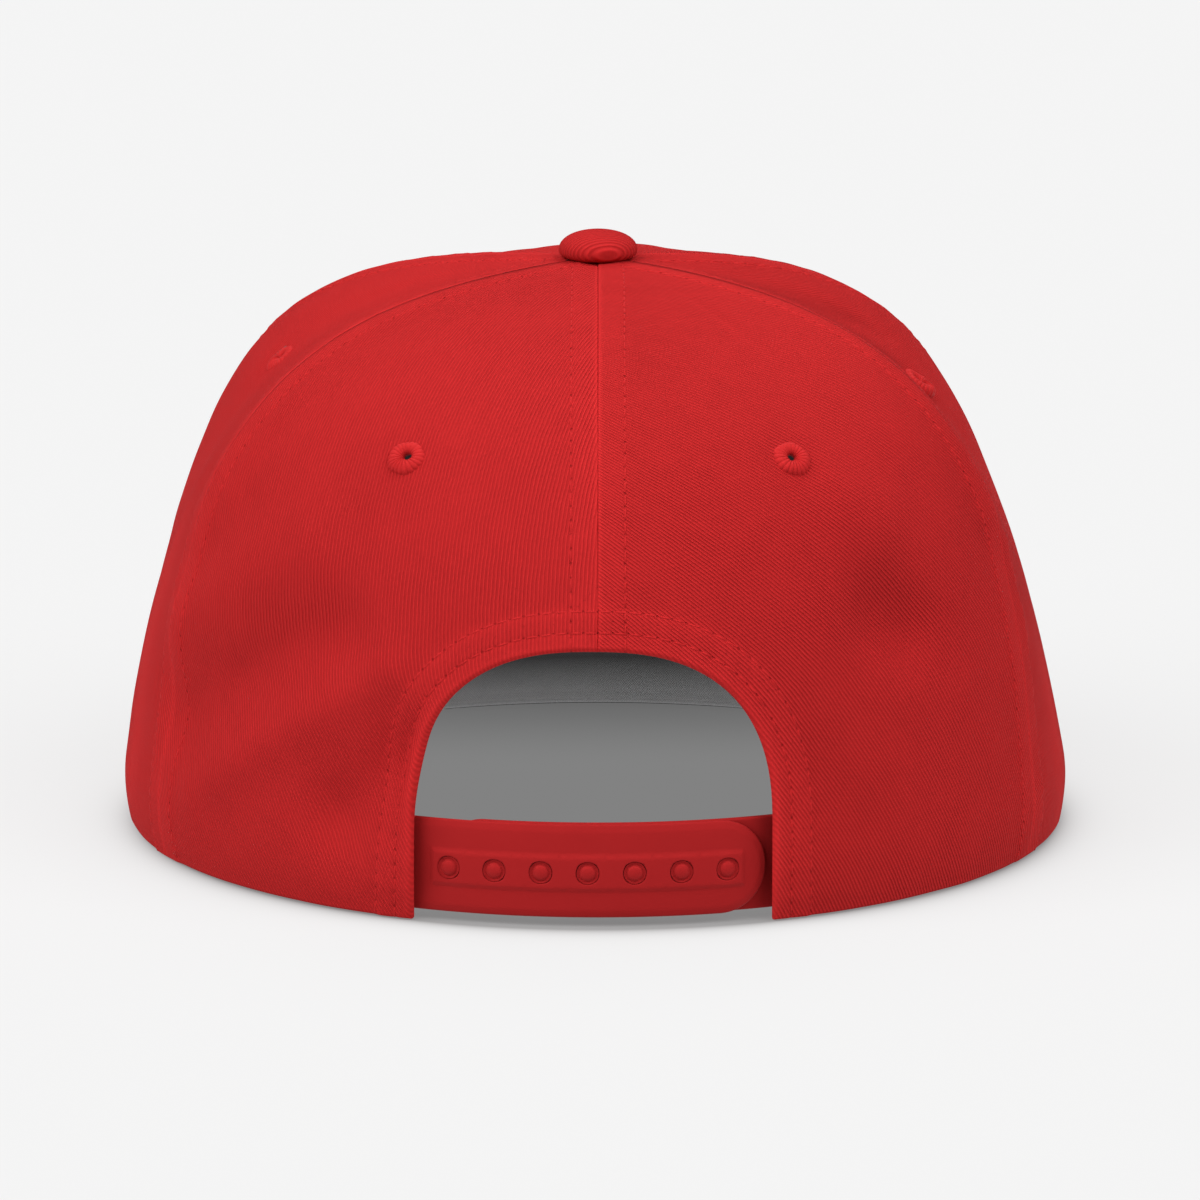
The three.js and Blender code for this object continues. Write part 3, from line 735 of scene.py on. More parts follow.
def make_panel(panel):
    """One cloth panel: the crown's face plus its relief, and the same face one wall further in. Within
    HEM_TURN of its hems the inner face is still the twill that is turned in there, and further in it is the
    backing. Returns the lengths, lines and normals of its sewn rows."""
    is_back = panel["node"].startswith("back")
    side = 1 if panel["low"] == 0 else -1
    azimuth, t = back_panel_domain(side) if is_back else panel_domain(panel)
    point, normal = crown_point(azimuth, t), crown_normal(azimuth, t)
    reach = np.hypot(point[..., 0], point[..., 1])
    relief = Relief(point)
    relief.height += unevenness(azimuth, point[..., 2])
    # Painted light and shade for the twill's colour: painted sheen on the seam and hem allowances, painted
    # shade beside the centre seam, and the lines of painted light and shade.
    painted_shading = np.zeros(point.shape[:2])
    # Lines of painted light and painted shade on the twill.
    painted_lines_tone = painted_light_and_shade(azimuth, point[..., 2])

    to_low = reach * np.abs(np.radians(signed(azimuth - panel["low"])))
    to_high = reach * np.abs(np.radians(signed(azimuth - panel["high"])))
    for distance, azimuth_there in ((to_low, panel["low"]), (to_high, panel["high"])):
        centre = azimuth_there % 360 == 0
        depth, kept = (CENTRE_SEAM_DEPTH, CENTRE_SEAM_KEPT) if centre else (SIDE_SEAM_DEPTH, SIDE_SEAM_KEPT)
        relief.edge(distance, SEAM_ROUND, depth, WALL, kept)
        band = 1 - smooth(distance, SEAM_ROW - ALLOWANCE_START, SEAM_ROW + SEAM_ALLOWANCE_END)
        relief.height += SEAM_LIFT * band
        # The seam allowance gets painted sheen, a painted highlight along the seam.
        painted_shading = np.maximum(painted_shading, band)
        if centre and side == 1:
            relief.height -= SEAM_DIP * np.exp(-((distance / SEAM_DIP_WIDTH) ** 2))
            # Painted shade in a band beside the centre seam.
            seam_shade = np.exp(-(((distance - SEAM_SHADE_AWAY) / SEAM_SHADE_WIDTH) ** 2))
            painted_shading += SEAM_SHADE_TONE * seam_shade * smooth(point[..., 2], SEAM_SHADE_START, SEAM_SHADE_FULL)
    if is_back:
        centre, outer_seam = (to_low, to_high) if side == 1 else (to_high, to_low)
        relief.sew(centre, SEAM_ROW, axis=0)
        relief.sew(outer_seam, SEAM_ROW, axis=1, from_end=True)
    else:
        relief.sew(to_low, SEAM_ROW, axis=0)
        relief.sew(to_high, SEAM_ROW, axis=0, from_end=True)

    rise = meridian_length(panel, t) - meridian_length(panel, crown_t(azimuth, rim_height(azimuth)))
    relief.edge(np.maximum(rise, 0), EDGE_ROUND, WALL / 2, WALL)
    to_hem = rise
    if is_back:
        to_arch = distance_to_line(point, crown_point(*arch_edge(side, 420)))
        to_arch[:, 0] = 0
        to_hem = np.minimum(to_hem, to_arch)
        relief.edge(to_arch, EDGE_ROUND, WALL / 2, WALL)
        band = 1 - smooth(to_arch, HEM_ROWS[1] - ALLOWANCE_START, HEM_ROWS[1] + HEM_ALLOWANCE_END)
        relief.height += HEM_LIFT * band
        # The hem allowance gets painted sheen, a painted highlight along the hem.
        painted_shading = np.maximum(painted_shading, band)
        for level in HEM_ROWS:
            relief.sew(to_arch, level, axis=1)

    for eyelet in EYELETS:
        distance = np.linalg.norm(point - eyelet_place(eyelet), axis=-1)
        beside = (distance - EYELET_RADIUS - EYELET_DIP_AWAY) / EYELET_DIP_WIDTH
        relief.height -= EYELET_DIP * np.exp(-(beside**2))
    outer = point + normal * (relief.height * relief.profile - relief.outer_drop)[..., None]
    inner = point - normal * np.maximum(WALL - relief.inner_drop, relief.outer_drop)[..., None]
    keep = np.ones((outer.shape[0] - 1, outer.shape[1] - 1), bool)
    cell = (point[1:, 1:] + point[:-1, :-1]) / 2
    for eyelet in EYELETS:
        keep &= np.linalg.norm(cell - eyelet_place(eyelet), axis=-1) > EYELET_RADIUS - EYELET_CUT
    verts, faces, is_outer, source = closed_sheet(outer, inner, keep)
    faces = face_out(verts, faces, is_outer, normal.reshape(-1, 3)[source])
    uv = weave_uv(panel, azimuth, t, point).reshape(-1, 2)[source] * MM
    attributes = {
        "row_across": relief.across.ravel()[source],
        "row_along": relief.along.ravel()[source],
        "painted_shading": (painted_shading + painted_lines_tone).ravel()[source],
        "round_over": relief.round_over.ravel()[source],
    }
    backed = ~is_outer & (to_hem.ravel()[source][faces].min(axis=1) > HEM_TURN)
    materials = [bpy.data.materials["twill"], bpy.data.materials["backing_cloth"]]
    made = new_object(panel["node"] + "_cloth", verts, faces, backed, materials, uv, attributes)
    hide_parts(panel["node"])
    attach(made, "root")
    return relief.finished_rows(outer, normal)


def along_line(values, length, place):
    """Vectors along a line, interpolated at places that are given as lengths from its start."""
    return np.stack([np.interp(place, length, values[:, k]) for k in range(3)], axis=1)


def make_stitches(name, rows, keep_out):
    """Stitches along sewn rows, as one mesh of short spindles, none of them nearer the axis than keep_out.
    With x from -0.5 to 0.5 along it, a spindle has the thread's radius times (1 - (2x)^2)^(1/4). It lies a
    quarter of that radius deep, and its ends sink by 1.2 times the radius times (2x)^4 more. Threads that
    would stand below the floor are flattened onto it."""
    cap = settings()
    pitch, radius = cap.stitch_pitch / MM, cap.thread_width / MM / 2
    stations = np.array([-0.5, -0.36, -0.12, 0.12, 0.36, 0.5])
    sides = 6
    angle = np.arange(sides) * 2 * np.pi / sides
    girth = np.sqrt(np.clip(1 - (2 * stations[1:-1]) ** 2, 0, 1)) ** 0.5
    ring = np.stack([
        np.repeat(stations[1:-1], sides),
        np.outer(girth, np.cos(angle)).ravel(),
        np.outer(girth, np.sin(angle)).ravel(),
    ], axis=1)
    shape = np.concatenate([[[-0.5, 0, 0]], ring, [[0.5, 0, 0]]])
    around = np.arange(sides)
    following = (around + 1) % sides
    rings = len(girth)
    quads = np.concatenate([
        np.stack([1 + k * sides + around, 1 + k * sides + following,
                  1 + (k + 1) * sides + following, 1 + (k + 1) * sides + around], axis=1)
        for k in range(rings - 1)
    ])[:, ::-1]
    last = len(shape) - 1
    fans = np.concatenate([
        np.stack([np.zeros(sides, int), following + 1, around + 1], axis=1),
        np.stack([np.full(sides, last), last - sides + around, last - sides + following], axis=1),
    ])[:, ::-1]
    verts, count = [], 0
    for length, line, normal in rows:
        centre = np.arange(0.5, length[-1] / pitch - 0.2) * pitch
        middle, up = along_line(line, length, centre), unit(along_line(normal, length, centre))
        forward = unit(along_line(line, length, centre + 0.3) - along_line(line, length, centre - 0.3))
        clear = np.hypot(middle[:, 0], middle[:, 1]) > keep_out
        middle, up, forward = middle[clear], up[clear], forward[clear]
        sideways = unit(np.cross(up, forward))
        rise = -0.25 * radius - 1.2 * radius * (2 * shape[:, 0]) ** 4
        lift = (shape[:, 2] * radius + rise)[None, :, None] * up[:, None]
        run = (shape[:, 0] * cap.stitch_length / MM)[None, :, None] * forward[:, None]
        spread = (shape[:, 1] * radius)[None, :, None] * sideways[:, None]
        verts.append((middle[:, None] + run + spread + lift).reshape(-1, 3))
        count += len(middle)
    offsets = (np.arange(count) * len(shape))[:, None, None]
    faces = [(quads[None] + offsets).reshape(-1, 4), (fans[None] + offsets).reshape(-1, 3)]
    slots = np.zeros(sum(len(f) for f in faces), int)
    verts = np.concatenate(verts)
    verts[:, 2] = np.maximum(verts[:, 2], 0)
    made = new_object(name, verts, faces, slots, [bpy.data.materials["stitching"]])
    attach(made, "root")


def lathe(radius, height, sides):
    """A turned shape: a profile of radii and heights, starting and ending on the axis, carried round it.
    Gives points, quads and the fans at both poles."""
    angle = np.arange(sides) * 2 * np.pi / sides
    ring = np.stack([
        np.outer(radius[1:-1], np.cos(angle)),
        np.outer(radius[1:-1], np.sin(angle)),
        np.repeat(height[1:-1, None], sides, axis=1),
    ], axis=-1).reshape(-1, 3)
    verts = np.concatenate([[[0, 0, height[0]]], ring, [[0, 0, height[-1]]]])
    around, rings = np.arange(sides), len(radius) - 2
    following = (around + 1) % sides
    first = 1 + np.arange(rings - 1)[:, None] * sides
    quads = np.stack([
        first + around, first + sides + around, first + sides + following, first + following,
    ], axis=-1).reshape(-1, 4)
    last = len(verts) - 1
    fans = np.concatenate([
        np.stack([np.zeros(sides, int), around + 1, following + 1], axis=1),
        np.stack([np.full(sides, last), last - sides + following, last - sides + around], axis=1),
    ])
    return verts, quads, fans


def make_button():
    """The covered button: a dome whose profile is a squared-off quarter ellipse, tucked in under its edge,
    on a shank that goes down through the crown."""
    low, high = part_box("button")
    radius = (high.x - low.x) / 2 / MM
    under, top = CROWN_HEIGHT + BUTTON_CLEARANCE, high.z / MM
    bow = np.linspace(0, np.pi / 2, 34)
    dome_radius = radius * np.sin(bow) ** 0.92
    dome_height = under + BUTTON_TUCK_RISE + (top - under - BUTTON_TUCK_RISE) * np.cos(bow) ** 0.95
    tuck = np.linspace(0, np.pi / 2, 9)[1:]
    tuck_radius = radius - BUTTON_TUCK_WIDTH + BUTTON_TUCK_WIDTH * np.cos(tuck)
    tuck_height = under + BUTTON_TUCK_RISE - BUTTON_TUCK_RISE * np.sin(tuck)
    tip = low.z / MM
    shank_radius = [SHANK_RADIUS, SHANK_RADIUS, SHANK_TIP_RADIUS, 0]
    shank_height = [under, tip + SHANK_TIP_RISE, tip, tip]
    profile_radius = np.concatenate([dome_radius, tuck_radius, shank_radius])
    profile_height = np.concatenate([dome_height, tuck_height, shank_height])
    verts, quads, fans = lathe(profile_radius, profile_height, 96)
    azimuth = np.arctan2(verts[:, 1], verts[:, 0])
    reach = np.hypot(verts[:, 0], verts[:, 1]) / radius
    pleat = 0.05 * np.sin(9 * azimuth + 1.1) + 0.04 * np.sin(14 * azimuth)
    verts[:, 2] += pleat * np.clip(reach - PLEAT_START, 0, 1) * (verts[:, 2] > under)
    turn = np.radians(RIB_TURN_ON_BUTTON)
    u = verts[:, 1] * np.cos(turn) + verts[:, 0] * np.sin(turn)
    v = verts[:, 0] * np.cos(turn) - verts[:, 1] * np.sin(turn)
    slots = np.zeros(len(quads) + len(fans), int)
    attributes = {"row_across": np.full(len(verts), NO_ROW), "row_along": np.zeros(len(verts))}
    made = new_object("button_cover", verts, [quads, fans], slots, [bpy.data.materials["twill"]],
                      np.stack([u, v], axis=1) * MM, attributes)
    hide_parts("button")
    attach(made, "root")


def make_eyelet(eyelet, index):
    """A stitched eyelet: an elliptical section carried round the hole, with a ridge for each winding of
    thread. The hole is a little off round, as a needle leaves it."""
    azimuth, height = eyelet["azimuth"], eyelet["height"]
    t = crown_t(azimuth, height)
    place, normal = crown_point(azimuth, t), crown_normal(azimuth, t)
    rising = crown_point(azimuth, t + 1e-3) - crown_point(azimuth, t - 1e-3)
    up = unit(rising - normal * np.dot(rising, normal))
    across = np.cross(up, normal)
    turn = np.linspace(0, 2 * np.pi, 252, endpoint=False)[:, None]
    bow = np.linspace(0, 2 * np.pi, 30, endpoint=False)[None, :]
    slant = index * 1.7
    hole = eyelet["hole"] * (1 + 0.22 * np.cos(turn - slant) + 0.16 * np.cos(2 * turn + slant))
    hole = hole + EYELET_OFFSET * np.clip(np.sin(turn), -0.25, 1)
    rim = EYELET_RADIUS * (1 + 0.03 * np.cos(2 * turn - slant) + 0.02 * np.cos(5 * turn))
    half_width, middle = (rim - hole) / 2, (rim + hole) / 2
    low, high = -WALL - 0.4, eyelet["proud"] * (0.66 - 0.42 * np.sin(turn))
    winding = np.abs(np.cos((EYELET_THREADS * turn + 1.1 * np.sin(3 * turn + slant) + 0.5 * np.sin(bow)) / 2))
    ridge = EYELET_RIDGE * (np.sqrt(winding) - 0.6) * (0.75 - 0.35 * np.sin(turn))
    reach = middle + (half_width + ridge) * np.cos(bow)
    rise = (high + low) / 2 + ((high - low) / 2 + ridge) * np.sin(bow)
    grid = (place + reach[..., None] * (np.cos(turn)[..., None] * across + np.sin(turn)[..., None] * up)
            + rise[..., None] * normal)
    rows, columns = grid.shape[:2]
    i, j = np.meshgrid(np.arange(rows), np.arange(columns), indexing="ij")
    i1, j1 = (i + 1) % rows, (j + 1) % columns
    faces = np.stack([i * columns + j, i1 * columns + j, i1 * columns + j1, i * columns + j1], axis=-1)
    made = new_object(eyelet["node"] + "_thread", grid.reshape(-1, 3), faces.reshape(-1, 4),
                      np.zeros(rows * columns, int), [bpy.data.materials["stitching"]])
    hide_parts(eyelet["node"])
    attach(made, "root")


def strap_outline(s, z, end, tab):
    """Distance inside a strap's outline: a band with a half circle at its end and a square tab."""
    half = STRAP_HEIGHT / 2
    toward = np.sign(tab - end)
    beyond = np.maximum(0, half - (s - end) * toward)
    from_edge = half - np.hypot(beyond, z - STRAP_BOTTOM - half)
    return np.minimum(from_edge, np.maximum((tab - s) * toward, 0))


def strap_grid(end, tab, cell=0.42):
    """Points of a strap laid flat: s along it and z up. Columns close up round the half circle."""
    half = STRAP_HEIGHT / 2
    toward = np.sign(tab - end)
    bow = np.linspace(0.1, np.pi / 2, int(half * 1.6 / cell))
    straight = np.linspace(half, abs(tab - end), int((abs(tab - end) - half) / cell))[1:]
    left = np.concatenate([half * (1 - np.cos(bow)), straight])
    reach = np.concatenate([half * np.sin(bow), np.full(len(straight), half)])
    share = 2 * spaced(STRAP_HEIGHT, fine_low=0.12, fine_high=0.12, coarse=cell, growth=0.3) - 1
    s = np.repeat((end + toward * left)[:, None], len(share), axis=1)
    z = STRAP_BOTTOM + half + reach[:, None] * share[None, :]
    return s, z


def snap_places():
    """Where the snaps sit along the strap, in millimetres from the centre of the back."""
    return np.radians(np.linspace(SNAP_FIRST, SNAP_LAST, SNAP_COUNT)) * STRAP_RADIUS


def strap_wall(s, z, quads, border, outer_height, inner_height, radius):
    """Bends a flat strap round the back: s becomes an angle, and the heights of its two faces are added to
    the radius. The faces share their border points."""
    angle = s / STRAP_RADIUS

    def bend(height):
        """The strap's points at a height above its radius."""
        return np.stack([(radius + height) * np.sin(angle), (radius + height) * np.cos(angle), z], axis=-1)

    number = np.arange(len(s))
    number[~border] = len(s) + np.arange((~border).sum())
    verts = np.concatenate([bend(outer_height), bend(inner_height)[~border]])
    outward = np.concatenate([bend(outer_height + 1) - bend(outer_height)] * 2)[: len(verts)]
    faces = np.concatenate([quads, number[quads][:, ::-1]])
    is_outer = np.arange(len(faces)) < len(quads)
    faces = face_out(verts, faces, is_outer, outward)
    used, remap = np.unique(faces, return_inverse=True)
    return verts[used], remap.reshape(faces.shape)


def holed_sheet(s, z, centres, radius, reach=9):
    """Cuts round holes in a flat grid. Round each hole a square block of cells gives way to rings of points
    from the block's border to the circle. Gives flat points, quads, and which points lie on a border."""
    rows, columns = s.shape
    keep = np.ones((rows - 1, columns - 1), bool)
    points, border = [np.stack([s.ravel(), z.ravel()], axis=1)], [np.zeros((rows, columns), bool)]
    border[0][[0, -1], :] = border[0][:, [0, -1]] = True
    border[0] = border[0].ravel()
    quads, start = [], rows * columns
    shares = np.array([0, 0.07, 0.16, 0.3, 0.48, 0.72])
    for x, y in centres:
        i0, j0 = (int(k) for k in np.unravel_index(np.hypot(s - x, z - y).argmin(), s.shape))
        span = np.arange(-reach, reach)
        keep[i0 - reach : i0 + reach, j0 - reach : j0 + reach] = False
        ring_i = i0 + np.concatenate([span, np.full(2 * reach, reach), -span, np.full(2 * reach, -reach)])
        ring_j = j0 + np.concatenate([np.full(2 * reach, -reach), span, np.full(2 * reach, reach), -span])
        block = np.stack([s[ring_i, ring_j], z[ring_i, ring_j]], axis=1)
        toward = unit(block - [x, y])
        circle = np.array([x, y]) + radius * toward
        rings = circle[None] + shares[:, None, None] * (block - circle)[None]
        count = len(block)
        here = start + np.arange(count)
        numbers = np.concatenate([(here[None] + np.arange(len(shares))[:, None] * count),
                                  (ring_i * columns + ring_j)[None]])
        following = np.roll(numbers, -1, axis=1)
        loops = np.stack([numbers[:-1], numbers[1:], following[1:], following[:-1]], axis=-1)
        quads.append(loops.reshape(-1, 4))
        points.append(rings.reshape(-1, 2))
        on_circle = np.zeros(rings.shape[:2], bool)
        on_circle[0] = True
        border.append(on_circle.ravel())
        start += rings.shape[0] * count
    # The rings run the other way round than the grid's own quads do.
    flat = np.concatenate([grid_faces(rows, columns, keep), np.concatenate(quads)[:, ::-1]])
    return np.concatenate(points), flat, np.concatenate(border)


def make_hole_strap():
    """The outer strap: a chamfer along its edges, a raised band along its middle, and a row of holes."""
    end, tab = np.radians(HOLE_STRAP_END) * STRAP_RADIUS, np.radians(STRAP_TAB) * STRAP_RADIUS
    s, z = strap_grid(end, tab)
    centres = [(place, SNAP_HEIGHT) for place in snap_places()]
    flat, quads, border = holed_sheet(s, z, centres, SNAP_HOLE)
    s, z = flat[:, 0], flat[:, 1]
    inside = strap_outline(s, z, end, tab)
    to_hole = np.min([np.hypot(s - x, z - y) for x, y in centres], axis=0) - SNAP_HOLE
    chamfer = -STRAP_CHAMFER * (1 - smooth(inside, STRAP_CHAMFER_START, STRAP_CHAMFER_END))
    low_s, high_s = np.radians([STRAP_BAND_END, STRAP_BAND_START]) * STRAP_RADIUS
    in_band = np.minimum(np.minimum(s - low_s, high_s - s), STRAP_BAND_HALF - np.abs(z - STRAP_BAND_MIDDLE))
    raised = STRAP_BAND_RISE * smooth(in_band, -STRAP_BAND_EDGE, STRAP_BAND_EDGE)
    profile = np.minimum(edge_profile(inside, STRAP_EDGE_ROUND), edge_profile(to_hole, STRAP_HOLE_ROUND))
    half = STRAP_THICKNESS / 2
    bow = STRAP_BOW * (1 - ((z - STRAP_HEIGHT / 2) / (STRAP_HEIGHT / 2)) ** 2)
    bow = bow * (1 - smooth(np.abs(s), STRAP_BOW_KEPT, STRAP_BOW_GONE))
    outer = (chamfer + raised + bow + half) * profile - half
    inner = -half - half * profile
    outer[border] = -half
    verts, faces = strap_wall(s, z, quads, border, outer, inner, STRAP_RADIUS)
    made = new_object("strap_with_holes", verts, faces, np.zeros(len(faces), int),
                      [bpy.data.materials["snap_plastic"]])
    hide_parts("strap_holes")
    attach(made, "root")


def make_peg_strap():
    """The inner strap: a plain band, and a row of domed pegs that stand in the outer strap's holes. A shallow
    groove runs round the foot of each dome."""
    end, tab = np.radians(PEG_STRAP_END) * STRAP_RADIUS, -np.radians(STRAP_TAB) * STRAP_RADIUS
    grid_s, grid_z = strap_grid(end, tab)
    border = np.zeros(grid_s.shape, bool)
    border[[0, -1], :] = border[:, [0, -1]] = True
    s, z = grid_s.ravel(), grid_z.ravel()
    inside = strap_outline(s, z, end, tab)
    profile = edge_profile(inside, STRAP_EDGE_ROUND)
    half = STRAP_THICKNESS / 2
    outer, inner = half * profile - half, -half - half * profile
    radius = STRAP_RADIUS - STRAP_LAYER
    verts, faces = strap_wall(s, z, grid_faces(*grid_s.shape), border.ravel(), outer, inner, radius)
    bow = np.linspace(0, np.pi / 2, 9)
    length = STRAP_LAYER + PEG_PROUD + half
    foot = length - PEG_DOME
    dome_radius, dome_height = PEG_RADIUS * np.sin(bow), length - PEG_DOME * (1 - np.cos(bow))
    groove_radius = PEG_RADIUS + np.array([0.16, 0.36, 0.56])
    groove_height = foot + np.array([-0.14, -0.14, -0.02, 0.16])
    peg_radius = np.concatenate([dome_radius, groove_radius, [PEG_FOOT] * 2, [0]])
    peg_height = np.concatenate([dome_height, groove_height, [0, 0]])
    shape, peg_quads, peg_fans = lathe(peg_radius, peg_height, 28)
    quads, fans, points = [faces], [], [verts]
    start = len(verts)
    for place in snap_places():
        a = place / STRAP_RADIUS
        outward, sideways = np.array([np.sin(a), np.cos(a), 0]), np.array([-np.cos(a), np.sin(a), 0])
        base = outward * (radius - half) + [0, 0, SNAP_HEIGHT]
        points.append(base + shape[:, :1] * sideways + shape[:, 1:2] * [0, 0, 1.0] + shape[:, 2:] * outward)
        quads.append(peg_quads + start)
        fans.append(peg_fans + start)
        start += len(shape)
    quads, fans = np.concatenate(quads), np.concatenate(fans)
    slots = np.zeros(len(quads) + len(fans), int)
    made = new_object("strap_with_pegs", np.concatenate(points), [quads, fans], slots,
                      [bpy.data.materials["snap_plastic"]])
    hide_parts("strap_pegs")
    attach(made, "root")


def make_sweatband():
    """The sweatband: the crown's inner face from just above the floor, a clearance further in. It steps in
    where it passes over the straps' sewn tabs, and again where it passes the brim's inner edge."""
    across = spaced(BAND_LENGTH, fine_low=0.4, fine_high=0.4, coarse=2.2)
    up = spaced(BAND_HEIGHT, fine_low=0.2, fine_high=0.2, coarse=1.4)
    azimuth, share = np.meshgrid(BAND_END + (360 - 2 * BAND_END) * across, up, indexing="ij")
    beside = np.abs(signed(azimuth))
    by_brim = smooth(beside, BRIM_END_AZIMUTH - BRIM_RAMP, BRIM_END_AZIMUTH)
    lift = BAND_LIFT + (BAND_LIFT_AT_BRIM - BAND_LIFT) * by_brim
    t = crown_t(azimuth, lift + (rim_height(azimuth) + BAND_HEIGHT) * share)
    point, normal = crown_point(azimuth, t), crown_normal(azimuth, t)
    past_tab = smooth(beside, STRAP_TAB + BAND_TAB_ROOM_KEPT, STRAP_TAB + BAND_TAB_ROOM_GONE)
    room = BAND_TAB_ROOM * (1 - past_tab) + BAND_BRIM_ROOM * by_brim
    rise = BAND_HEIGHT * share
    edge = np.minimum(rise, BAND_HEIGHT - rise)
    from_end = MM_PER_DEGREE * (beside - BAND_END)
    profile = edge_profile(np.minimum(edge, from_end), BAND_EDGE_ROUND)
    dip = BAND_ROW_DIP * sum(np.exp(-(((rise - row) / BAND_ROW_WIDTH) ** 2)) for row in BAND_ROWS)
    depth = WALL + BAND_CLEARANCE + room
    half = BAND_THICKNESS / 2
    outer = point - normal * (depth + half - half * profile)[..., None]
    inner = point - normal * (depth + half + (half - dip) * profile)[..., None]
    verts, faces, is_outer, source = closed_sheet(outer, inner)
    faces = face_out(verts, faces, is_outer, normal.reshape(-1, 3)[source])
    uv = np.stack([MM_PER_DEGREE * azimuth, rise], axis=-1).reshape(-1, 2)[source] * MM
    made = new_object("sweatband_cloth", verts, faces, np.zeros(len(faces), int),
                      [bpy.data.materials["sweatband_cotton"]], uv)
    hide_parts("sweatband")
    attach(made, "root")


def make_brim():
    """The flat brim: straight lines from an arc under the crown's wall to a superellipse in front, with a
    full round at the outer edge, and sewn rows parallel to it on both faces. Its lower face is the backing
    along the hidden root, except near the ends."""
    angle = np.linspace(0, np.pi, 6000)
    c = np.cos(angle)
    reach = CROWN_RADIUS + BRIM_REACH - BRIM_ROOT
    outline = np.stack([
        BRIM_WIDTH / 2 * np.sign(c) * np.abs(c) ** (2 / BRIM_POWER),
        -BRIM_ROOT - reach * np.clip(np.sin(angle), 0, 1) ** (2 / BRIM_POWER),
    ], axis=1)
    length = arc_length(outline)
    share = np.linspace(0, 1, 300)
    edge = np.stack([np.interp(share * length[-1], length, outline[:, k]) for k in range(2)], axis=1)
    a = np.radians(BRIM_END_AZIMUTH + (360 - 2 * BRIM_END_AZIMUTH) * share)
    root = BRIM_INNER_RADIUS * np.stack([np.sin(a), np.cos(a)], axis=1)
    out = spaced(BRIM_REACH, fine_low=0.5, fine_high=0.12, coarse=1.1)[None, :, None]
    flat = root[:, None] * (1 - out) + edge[:, None] * out
    point = np.concatenate([flat, np.zeros((*flat.shape[:2], 1))], axis=-1)
    to_edge = distance_to_line(point, np.concatenate([outline[::10], np.zeros((600, 1))], axis=1))
    to_edge[:, -1] = 0
    to_end = np.abs(share - np.round(share))[:, None] * length[-1]
    to_root = np.linalg.norm(flat - root[:, None], axis=-1)
    relief = Relief(point)
    half = BRIM_THICKNESS / 2
    relief.edge(to_edge, half, half, BRIM_THICKNESS)
    relief.edge(np.minimum(to_root, to_end), BRIM_ROOT_ROUND, half, BRIM_THICKNESS)
    for row in BRIM_ROWS:
        relief.sew(to_edge, row, axis=1, from_end=True)
    up = np.array([0, 0, 1.0])
    swell = (half + relief.height) * relief.profile
    top, bottom = point + (half + swell)[..., None] * up, point + np.maximum(half - swell, 0)[..., None] * up
    verts, faces, is_outer, source = closed_sheet(top, bottom)
    faces = face_out(verts, faces, is_outer, np.broadcast_to(up, verts.shape))
    turn = np.radians(RIB_TURN_ON_BRIM)
    u = flat[..., 0] * np.cos(turn) + flat[..., 1] * np.sin(turn)
    v = flat[..., 1] * np.cos(turn) - flat[..., 0] * np.sin(turn)
    uv = np.stack([u, v], axis=-1).reshape(-1, 2)[source] * MM
    attributes = {
        "row_across": relief.across.ravel()[source],
        "row_along": relief.along.ravel()[source],
        "round_over": relief.round_over.ravel()[source],
    }
    behind = (to_root < BRIM_ROOT_HIDDEN) & (to_end > BRIM_END_SHOWN)
    root_side = ~is_outer & behind.ravel()[source][faces].all(axis=1)
    materials = [bpy.data.materials["twill"], bpy.data.materials["backing_cloth"]]
    made = new_object("brim_cover", verts, faces, root_side, materials, uv, attributes)
    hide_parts("brim")
    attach(made, "root")
    tops = relief.finished_rows(top, np.broadcast_to(up, top.shape))
    bottoms = relief.finished_rows(bottom, np.broadcast_to(-up, top.shape))
    make_stitches("brim_stitches", tops + bottoms, keep_out=BRIM_ROWS_END)


def node(tree, kind, *inputs, **traits):
    """Adds a node. Each input is a socket to link or a value to set, and None leaves that socket alone."""
    made = tree.nodes.new(kind)
    for key, value in traits.items():
        setattr(made, key, value)
    for socket, value in zip(made.inputs, inputs):
        if isinstance(value, bpy.types.NodeSocket):
            tree.links.new(value, socket)
        elif value is not None:
            socket.default_value = value
    return made


def calc(tree, operation, *inputs):
    """One Math node's result."""
    return node(tree, "ShaderNodeMath", *inputs, operation=operation).outputs[0]


def noise(tree, vector, scale, detail=2.0):
    """A Noise Texture's value, about 0.5."""
    made = node(tree, "ShaderNodeTexNoise", vector)
    made.inputs["Scale"].default_value = scale
    made.inputs["Detail"].default_value = detail
    return made.outputs[0]


def new_group(name, inputs, outputs):
    """A shader node group with named inputs, given as name: (socket type, default), and float outputs."""
    tree = bpy.data.node_groups.new(name, "ShaderNodeTree")
    for key, (kind, default) in inputs.items():
        socket = tree.interface.new_socket(key, in_out="INPUT", socket_type=kind)
        if default is not None:
            socket.default_value = default
    for key in outputs:
        tree.interface.new_socket(key, in_out="OUTPUT", socket_type="NodeSocketFloat")
    return tree, tree.nodes.new("NodeGroupInput").outputs, tree.nodes.new("NodeGroupOutput").inputs


def use_group(tree, name, **values):
    """Places a node group in a tree, with its inputs by name, and gives its outputs."""
    made = tree.nodes.new("ShaderNodeGroup")
    made.node_tree = bpy.data.node_groups[name]
    for key, value in values.items():
        socket = made.inputs[key.replace("_", " ")]
        if isinstance(value, bpy.types.NodeSocket):
            tree.links.new(value, socket)
        else:
            socket.default_value = value
    return made.outputs


